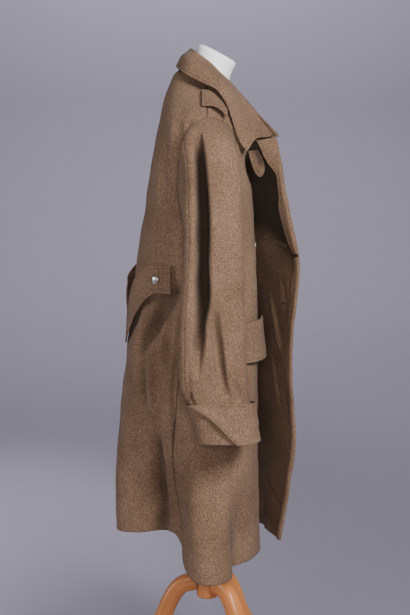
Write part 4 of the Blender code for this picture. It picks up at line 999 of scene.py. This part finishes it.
# %% Collar
COLLAR = table(
    "s seam_x seam_y seam_z fold_x fold_y fold_z edge_x edge_y edge_z",
    (0.00, 0.000, 0.0555, 1.5195, 0.000, 0.033, 1.571, 0.000, 0.0680, 1.529),
    (0.22, 0.043, 0.0350, 1.5160, 0.042, 0.021, 1.560, 0.075, 0.0460, 1.509),
    (0.42, 0.069, -0.0030, 1.5050, 0.066, -0.012, 1.535, 0.120, 0.0045, 1.4865),
    (0.52, 0.075, -0.0300, 1.4890, 0.070, -0.037, 1.511, 0.143, -0.0257, 1.4715),
    (0.62, 0.079, -0.0570, 1.4690, 0.074, -0.062, 1.487, 0.163, -0.0515, 1.4335),
    (0.83, 0.078, -0.1070, 1.4140, 0.078, -0.110, 1.426, 0.175, -0.0793, 1.3550),
    (1.00, 0.066, -0.1490, 1.3670, 0.074, -0.154, 1.374, 0.168, -0.0940, 1.3350),
)
COLLAR_LEFT_FORWARD, COLLAR_LEFT_FROM, COLLAR_ROLL, COLLAR_FULL_BY = -0.036, 0.3, 0.0075, 0.4
COLLAR_FULLNESS, COLLAR_BACK_FULLNESS, COLLAR_NAPE = 1.3, 0.6, 0.10
COLLAR_COLUMNS, COLLAR_ROWS, COLLAR_LEFT_CURVE, COLLAR_OVER = 170, 56, 1.5, 0.8
COLLAR_WAVES = 0.0006, 0.05, 0.12, 2
STOPS = np.array([0.0, 0.24, 0.36, 0.48, 0.72, 1.0])


def collar_grid(s, t):
    """The collar's face: s from the right end (-1) to the left (1), t from neck seam to outer edge."""
    rounded = np.sqrt(s**2 + COLLAR_NAPE**2 * (1 - np.abs(s))) - COLLAR_NAPE * (1 - np.abs(s))
    wide, at = look_up(COLLAR, np.abs(s), "s"), look_up(COLLAR, rounded, "s")
    ahead = COLLAR_LEFT_FORWARD * np.maximum(s - COLLAR_LEFT_FROM, 0) ** COLLAR_LEFT_CURVE
    seam, fold, edge = (
        np.stack([np.sign(s) * wide[name + "_x"], at[name + "_y"] + ahead, at[name + "_z"]], axis=-1)
        for name in ("seam", "fold", "edge")
    )
    out = COLLAR_ROLL * unit((edge - seam) * (1, 1, 0))
    up = np.array([0.0, 0.0, COLLAR_ROLL])
    full = between(COLLAR_BACK_FULLNESS, COLLAR_FULLNESS, ease(np.abs(s) / COLLAR_FULL_BY))
    bowed = 0.5 * (fold + edge) + full[:, None] * (out + up)
    stack = np.stack([seam, fold - out - up, fold, fold + out - COLLAR_OVER * up, bowed, edge])
    columns = [[along(STOPS, stack[:, k, axis], t) for axis in range(3)] for k in range(len(s))]
    return np.array(columns).transpose(2, 0, 1)


EDGES = ("first", "last", "top")
flat_collar = collar_grid(-1 + 2 * closer(COLLAR_COLUMNS, 0.5), closer(COLLAR_ROWS, 0.5))
outwards = np.sign(grid_normals(flat_collar, 1)[-6, COLLAR_COLUMNS // 2, 1])
waves = unevenness(flat_collar, *COLLAR_WAVES)
pressed = press(flat_collar, outwards, waves, seams=("low",), edges=EDGES)
sew("collar", pressed, stitched=EDGES, free=EDGES, thickness=DOUBLE_CLOTH, held="folded",
    rests_on=("back", "dress_form"))

# %% [markdown]
# ## Straps, half-belt and pocket flaps
# These are small pieces of doubled cloth with stitched edges. The strap lies along the shoulder seam
# under the collar; the half-belt droops across the back between its two buttons; the flap's free
# corners are cut round, and its front half curls away from the coat.

# %% Shoulder straps
STRAP_IN_X, STRAP_OUT_X = 0.130, 0.188
STRAP_BACK_Y, STRAP_FRONT_Y, STRAP_BEND_Y = 0.006, -0.050, -0.012
STRAP_LIFT, STRAP_END_LIFT, STRAP_DROP = 0.0075, 0.0090, 0.0245
STRAP_CELLS = 36
EDGES = ("first", "last", "top")
ridge = np.flatnonzero((BODY["z"] >= ARM_TOP) & (BODY["z"] <= NECK_POINT_Z))[::-1]
for side in (RIGHT, LEFT):
    x = between(STRAP_IN_X, STRAP_OUT_X, closer(STRAP_CELLS, 0.5))[:, None]
    y = between(STRAP_BACK_Y, STRAP_FRONT_Y, closer(STRAP_CELLS, 0.5))[None, :]
    x, y = np.broadcast_arrays(x, y)
    seam = along(BODY["half_width"][ridge], BODY["z"][ridge], x)
    bent = np.maximum(STRAP_BEND_Y - y, 0) / (STRAP_BEND_Y - STRAP_FRONT_Y)
    off_seam = between(STRAP_LIFT, STRAP_END_LIFT, ease(x, STRAP_IN_X, STRAP_OUT_X))
    rise = seam + off_seam - STRAP_DROP * bent**2
    flat_strap = np.stack([SIGN[side] * x, y, rise], axis=-1)
    sew(f"shoulder_strap_{side}", press(flat_strap, SIGN[side], edges=EDGES), stitched=EDGES,
        free=ALL_ROUND, thickness=DOUBLE_CLOTH, held="laid", rests_on=("back", f"front_{side}"))

# %% Half-belt
BELT = table(
    "x y z lean",
    (-0.193, 0.0790, 1.047, 0.00), (-0.168, 0.1152, 1.046, 0.00), (-0.140, 0.1440, 1.028, 0.04),
    (-0.098, 0.1710, 0.978, 0.10), (-0.050, 0.1850, 0.925, 0.12), (0.000, 0.1895, 0.906, 0.10),
    (0.050, 0.1915, 0.935, 0.05), (0.098, 0.1850, 0.990, 0.00), (0.140, 0.1520, 1.030, 0.00),
    (0.168, 0.1160, 1.046, 0.00), (0.193, 0.0790, 1.047, 0.00),
)
BELT_WIDTH, BELT_ROWS, BELT_COLUMNS = 0.062, 30, 200
BELT_WAVES = 0.0004, 0.04, 0.1, 7
at = look_up(BELT, closer(BELT_COLUMNS, 0.3))
belt_line = np.stack([at["x"], at["y"], at["z"]], axis=-1)
forward = unit(np.gradient(belt_line, axis=0))
level = unit(np.stack([-forward[:, 1], forward[:, 0], 0 * at["x"]], axis=-1))
level *= np.where(level[:, 1:2] < 0, -1, 1)
upright = unit(np.cross(forward, level))
upright *= np.sign(upright[:, 2:3])
upright = unit(upright - at["lean"][:, None] * level)
belt_away = unit(np.cross(upright, forward))
belt_away *= np.where(np.sum(belt_away * level, axis=1, keepdims=True) < 0, -1, 1)
offsets = (closer(BELT_ROWS) - 0.5) * BELT_WIDTH
flat_belt = belt_line[None] + offsets[:, None, None] * upright[None]
belt_turn = np.sign(np.sum(grid_normals(flat_belt, 1)[BELT_ROWS // 2, 5] * belt_away[5]))
waves = unevenness(flat_belt, *BELT_WAVES)
belt = press(flat_belt, belt_turn, waves, away=belt_away[None], edges=ALL_ROUND)
sew("half_belt", belt, stitched=ALL_ROUND, free=ALL_ROUND, thickness=DOUBLE_CLOTH, rests_on=("back",))

# %% Pocket flaps
FLAP_TOP_Z, FLAP_LOW_Z, FLAP_BACK_U, FLAP_FRONT_U = 0.953, 0.862, 0.95, 1.48
FLAP_LIFT, FLAP_FRONT_LIFT, FLAP_ROUND = 0.0042, 0.0200, 0.024
FLAP_ROWS, FLAP_COLUMNS = 44, 60
EDGES = ("first", "last", "low")
for side in (RIGHT, LEFT):
    w, h = closer(FLAP_COLUMNS, 0.5)[None, :], closer(FLAP_ROWS, 0.5)[:, None]
    u = between(FLAP_BACK_U, FLAP_FRONT_U, w)
    from_end = np.minimum(w, 1 - w) * (FLAP_FRONT_U - FLAP_BACK_U) * ACROSS
    inside = np.clip(1 - from_end / FLAP_ROUND, 0, 1)
    low = FLAP_LOW_Z + FLAP_ROUND * (1 - np.sqrt(1 - inside**2))
    u, z = np.broadcast_arrays(u, between(FLAP_TOP_Z, low, 1 - h))
    ahead = ease(u, FLAP_BACK_U, FLAP_FRONT_U)
    hang = (FLAP_TOP_Z - z) / (FLAP_TOP_Z - FLAP_LOW_Z)
    under = body(side, u, z)
    rise = between(FLAP_LIFT, FLAP_FRONT_LIFT, ahead * (1 + hang) / 2) + body_relief(side, u, z, under)
    flat_flap = under + rise[..., None] * grid_normals(under, -SIGN[side])
    sew(f"pocket_flap_{side}", press(flat_flap, -SIGN[side], faint=("top",), edges=EDGES), stitched=EDGES,
        free=EDGES, thickness=DOUBLE_CLOTH, rests_on=(f"front_{side}",))

# %% [markdown]
# ## Buttons
# The buttons are pressed from sheet metal: a shallow dome with a rolled rim on a short shank. They are
# turned round their own axis from a profile in shares of their radius.

# %% Buttons
metal, shader = new_material("brushed_white_metal", roughness=0.34, metallic=1.0)   # soft grey highlights
shader.inputs["Base Color"].default_value = linear("#C9C6C0")
FRONT_BUTTON_RADIUS, BELT_BUTTON_RADIUS, BELT_BUTTON_X = 0.0125, 0.0100, 0.170
BUTTON_PROFILE = (
    (0.35, 0.08), (0.80, 0.10), (0.94, 0.13), (1.0, 0.20), (0.97, 0.27), (0.91, 0.31), (0.80, 0.38),
    (0.64, 0.45), (0.44, 0.51), (0.22, 0.545), (0.05, 0.555),
)
BUTTON_SIDES = 40


def all_round(sides):
    """Angles of the corners of a ring."""
    return np.arange(sides) * 2 * math.pi / sides


def add_rings(name, rings, material, nodes):
    """A closed piece through rings of points."""
    count, sides = len(rings), len(rings[0])
    faces = [
        (low + k, low + (k + 1) % sides, low + sides + (k + 1) % sides, low + sides + k)
        for low in range(0, (count - 1) * sides, sides)
        for k in range(sides)
    ]
    faces += [tuple(reversed(range(sides))), tuple(range((count - 1) * sides, count * sides))]
    return add_object(name, np.concatenate(rings), faces, material, nodes)


def add_button(node, point, normal, radius):
    side = unit(np.cross(normal, (0.0, 0.0, 1.0)))
    other = np.cross(normal, side)
    turns = all_round(BUTTON_SIDES)[:, None]
    rings = [
        point + radius * (across * (np.cos(turns) * side + np.sin(turns) * other) + up * normal)
        for across, up in BUTTON_PROFILE
    ]
    add_rings(f"pressed_{node}", rings, metal, (node,))


for side in (RIGHT, LEFT):
    k = int(np.argmin(np.abs(belt_line[:, 0] - SIGN[side] * BELT_BUTTON_X)))
    add_button(f"belt_button_{side}", belt[0][BELT_ROWS // 2, k], belt_away[k], BELT_BUTTON_RADIUS)
    points, normals = fronts[side]
    for number, z in enumerate(BUTTON_HEIGHTS, start=1):
        row = int(np.argmin(np.abs(heights - z)))
        at = row, int(np.argmin(np.abs(SIGN[side] * points[row, :, 0] - BUTTON_X[side])))
        add_button(f"button_{side}_{number}", points[at], normals[at], FRONT_BUTTON_RADIUS)

# %% [markdown]
# ## Dress form
# A padded form covered with tight white cloth, its neck cut off at a slant with a soft edge.

# %% Dress form
cover, shader = new_material("white_form_cover", roughness=0.6)      # tight, bright, hardly textured
shader.inputs["Base Color"].default_value = linear("#FDFDFB")
WEAVE = 0.0015            # metres
place = add_node(cover, "ShaderNodeTexCoord", {}).outputs["Object"]
weave = add_node(cover, "ShaderNodeTexNoise", {"Vector": place, "Scale": 1 / WEAVE, "Detail": 1.0})
weave_relief = add_node(cover, "ShaderNodeBump",
                        {"Height": weave.outputs["Fac"], "Strength": 0.1, "Distance": 0.0004})
cover.node_tree.links.new(weave_relief.outputs["Normal"], shader.inputs["Normal"])

FORM = table(
    "z half_width back front slope",
    (0.862, 0.070, 0.048, -0.046, 0.00), (0.866, 0.110, 0.075, -0.071, 0.00),
    (0.885, 0.140, 0.095, -0.088, 0.00), (0.930, 0.156, 0.107, -0.097, 0.00),
    (0.980, 0.158, 0.110, -0.098, 0.00), (1.050, 0.144, 0.100, -0.089, 0.00),
    (1.150, 0.148, 0.101, -0.086, 0.00), (1.250, 0.158, 0.105, -0.086, 0.00),
    (1.320, 0.164, 0.103, -0.083, 0.00), (1.370, 0.168, 0.096, -0.079, 0.00),
    (1.400, 0.170, 0.088, -0.073, 0.00), (1.418, 0.163, 0.082, -0.069, 0.00),
    (1.434, 0.146, 0.076, -0.066, 0.00), (1.448, 0.122, 0.069, -0.062, 0.00),
    (1.464, 0.094, 0.061, -0.058, 0.00), (1.480, 0.070, 0.053, -0.057, 0.05),
    (1.500, 0.057, 0.043, -0.057, 0.15), (1.530, 0.0510, 0.029, -0.063, 0.32),
    (1.552, 0.0485, 0.016, -0.071, 0.48), (1.5590, 0.0475, 0.0125, -0.0730, 0.52),
)
FORM_SIDES, FORM_RINGS, NECK_ROUND, NECK_BENDS = 80, 90, 0.006, (20, 40, 60, 80, 90)


def form_ring(z, inset=0.0):
    at, angles = look_up(FORM, z, "z"), all_round(FORM_SIDES)
    y = ((at["back"] - at["front"]) / 2 - inset) * np.cos(angles)
    x = (at["half_width"] - inset) * np.sin(angles)
    return np.stack([x, (at["back"] + at["front"]) / 2 + y, z + at["slope"] * y], axis=-1)


form_top = FORM["z"][-1]
rings = [form_ring(z) for z in np.linspace(FORM["z"][0], form_top - NECK_ROUND, FORM_RINGS)]
for bend in np.radians(NECK_BENDS):
    drop, inset = NECK_ROUND * (1 - math.sin(bend)), NECK_ROUND * (1 - math.cos(bend))
    rings.append(form_ring(form_top - drop, inset))
add_rings("covered_dress_form", rings, cover, ("dress_form",))

# %% [markdown]
# ## Stand
# The tripod is beech, bent with steam and varnished: warm, smooth, with fine grain along each leg. Every
# point carries its place in the straightened wood, so the grain follows the bend.

# %% Beech
beech, shader = new_material("varnished_beech", roughness=0.42)
shader.inputs["Coat Weight"].default_value = 0.25            # varnish: a clear, tight highlight
shader.inputs["Coat Roughness"].default_value = 0.2
grain_place = add_node(beech, "ShaderNodeAttribute", {}, attribute_name="grain").outputs["Vector"]
GRAIN_SCALE = (14.0, 260.0, 260.0)      # streaks about 70 mm long and 4 mm wide
stretched = add_node(beech, "ShaderNodeMapping", {"Vector": grain_place, "Scale": GRAIN_SCALE})
grain = add_node(beech, "ShaderNodeTexNoise",
                 {"Vector": stretched.outputs["Vector"], "Scale": 1.0, "Detail": 3.0})
wood_colour = add_node(beech, "ShaderNodeValToRGB", {"Fac": grain.outputs["Fac"]},
                       [(0.30, "#BE7238"), (0.55, "#CC7F45"), (0.75, "#D68C54")])
beech.node_tree.links.new(wood_colour.outputs["Color"], shader.inputs["Base Color"])
print("grain streaks", [round(1000 / scale, 1) for scale in GRAIN_SCALE], "mm")

# %% Stand
POLE_RADIUS, HUB_RADIUS, HUB_LOW, HUB_TOP, HUB_SOFTEN = 0.0135, 0.027, 0.235, 0.308, 0.006
LEG_TURNS, LEG_WIDTH, LEG_DEPTH = (90.0, -44.0, 224.0), 0.036, 0.042
LEG = table(
    "reach z lean",
    (0.0276, 0.274, 0), (0.052, 0.270, 12), (0.074, 0.255, 38), (0.091, 0.228, 56), (0.113, 0.178, 62),
    (0.166, 0.092, 61), (0.212, 0.018, 70), (0.220, 0.000, 90),
)
TURNED_SIDES, LEG_SIDES, LEG_RINGS, LEG_SQUARE = 64, 40, 90, 3.2


def add_wood(name, rings, grains, nodes):
    part = add_rings(name, rings, beech, nodes)
    value = part.data.attributes.new("grain", "FLOAT_VECTOR", "POINT")
    value.data.foreach_set("vector", np.concatenate(grains).ravel())


soft = [
    (HUB_RADIUS - HUB_SOFTEN * (1 - math.sin(b)), HUB_SOFTEN * (1 - math.cos(b)))
    for b in np.linspace(0, math.pi / 2, 7)
]
profile = [(r, HUB_LOW + up) for r, up in soft] + [(r, HUB_TOP - up) for r, up in soft[::-1]]
profile += [(POLE_RADIUS, HUB_TOP), (POLE_RADIUS, FORM["z"][0] - SEAM_GAP)]
angles = all_round(TURNED_SIDES)
rings = [
    np.stack([r * np.cos(angles), STAND_Y + r * np.sin(angles), np.full(TURNED_SIDES, z)], axis=-1)
    for r, z in profile
]
add_wood("turned_pole", rings, [ring[:, [2, 0, 1]] for ring in rings], ("stand_pole",))

angles = all_round(LEG_SIDES)
across = superellipse(angles, 0.5, 0.5, LEG_SQUARE)
wide, deep = LEG_WIDTH * across * np.cos(angles), LEG_DEPTH * across * np.sin(angles)
for number, turn in enumerate(np.radians(LEG_TURNS), start=1):
    heading = np.array([-math.cos(turn), math.sin(turn), 0.0])
    sideways = np.array([-heading[1], heading[0], 0.0])
    rings, grains, gone = [], [], 0.0
    for t in np.linspace(0, 1, LEG_RINGS):
        at = look_up(LEG, t)
        bend = math.radians(at["lean"])
        facing = np.array([0, 0, math.cos(bend)]) + heading * math.sin(bend)
        middle = heading * at["reach"] + np.array([0, STAND_Y, at["z"]])
        rings.append(middle + wide[:, None] * sideways + deep[:, None] * facing)
        gone += np.linalg.norm(rings[-1].mean(axis=0) - rings[max(len(rings) - 2, 0)].mean(axis=0))
        grains.append(np.stack([np.full(LEG_SIDES, gone + number), wide, deep], axis=-1))
    add_wood(f"bent_leg_{number}", rings, grains, (f"stand_leg_{number}",))

# %% [markdown]
# ## Floor and light
# A photo studio: pale paper runs over the floor and sweeps up far behind the coat. The main soft light
# stands high beside the camera, towards the coat's front, and a weaker one beside the coat's back. Two
# small ones soften the shadows, from above and from beside the lens, two only light the paper, and a
# weak one lights the side that the photo hides.

# %% Floor and light
PAPER_NEAR, PAPER_BEND, PAPER_RADIUS, PAPER_TOP, PAPER_HALF_WIDTH = -14.0, 5.4, 1.6, 7.0, 14.0
paper, shader = new_material("pale_studio_paper", roughness=0.9)        # matt, a cool grey
shader.inputs["Base Color"].default_value = linear("#878393")
bend = np.linspace(0, math.pi / 2, 25)
sweep = [(PAPER_NEAR, 0.0)]
sweep += [(PAPER_BEND + PAPER_RADIUS * math.sin(b), PAPER_RADIUS * (1 - math.cos(b))) for b in bend]
sweep += [(PAPER_BEND + PAPER_RADIUS, PAPER_TOP)]
mesh = bpy.data.meshes.new("paper")
mesh.from_pydata(
    [(x, y, z) for x, z in sweep for y in (-PAPER_HALF_WIDTH, PAPER_HALF_WIDTH)], [],
    [(2 * k, 2 * k + 2, 2 * k + 3, 2 * k + 1) for k in range(len(sweep) - 1)],
)
mesh.shade_smooth()
mesh.materials.append(paper)
put("paper", mesh)

surround = bpy.data.worlds.new("studio")
surround.use_nodes = True
surround.node_tree.nodes["Background"].inputs["Color"].default_value = linear("#C6C6D0")
surround.node_tree.nodes["Background"].inputs["Strength"].default_value = 0.04
bpy.context.scene.world = surround

LIGHTS = (       # place, aim, size in metres, spread in degrees, power in watts
    ((-2.3, -1.5, 2.6), (0.0, 0.0, 1.25), 0.9, 180, 134.0),
    ((-0.9, 2.7, 1.3), (0.0, 0.0, 1.0), 1.1, 180, 34.0),
    ((-1.0, 0.1, 3.4), (0.0, 0.0, 1.1), 1.1, 180, 8.0),
    ((-2.9, 0.02, 1.4), (0.0, 0.0, 1.1), 0.6, 180, 36.0),
    ((4.4, 0.2, 5.4), (7.0, 0.0, 3.2), 2.5, 180, 380.0),
    ((1.1, 1.4, 5.0), (1.1, 1.3, 0.0), 0.8, 36, 14.0),
    ((3.2, -1.6, 2.4), (0.0, 0.0, 1.0), 1.2, 180, 14.0),
)
for number, (place, aim, size, spread, power) in enumerate(LIGHTS, start=1):
    lamp = bpy.data.lights.new(f"softbox_{number}", "AREA")
    lamp.size, lamp.spread, lamp.energy = size, math.radians(spread), power
    holder = put(lamp.name, lamp)
    holder.location = AXIS + place
    x, y, z = unit(np.subtract(aim, place))
    holder.rotation_euler = (math.acos(-z), 0, math.atan2(y, x) - math.pi / 2)
print("lights", len(LIGHTS))
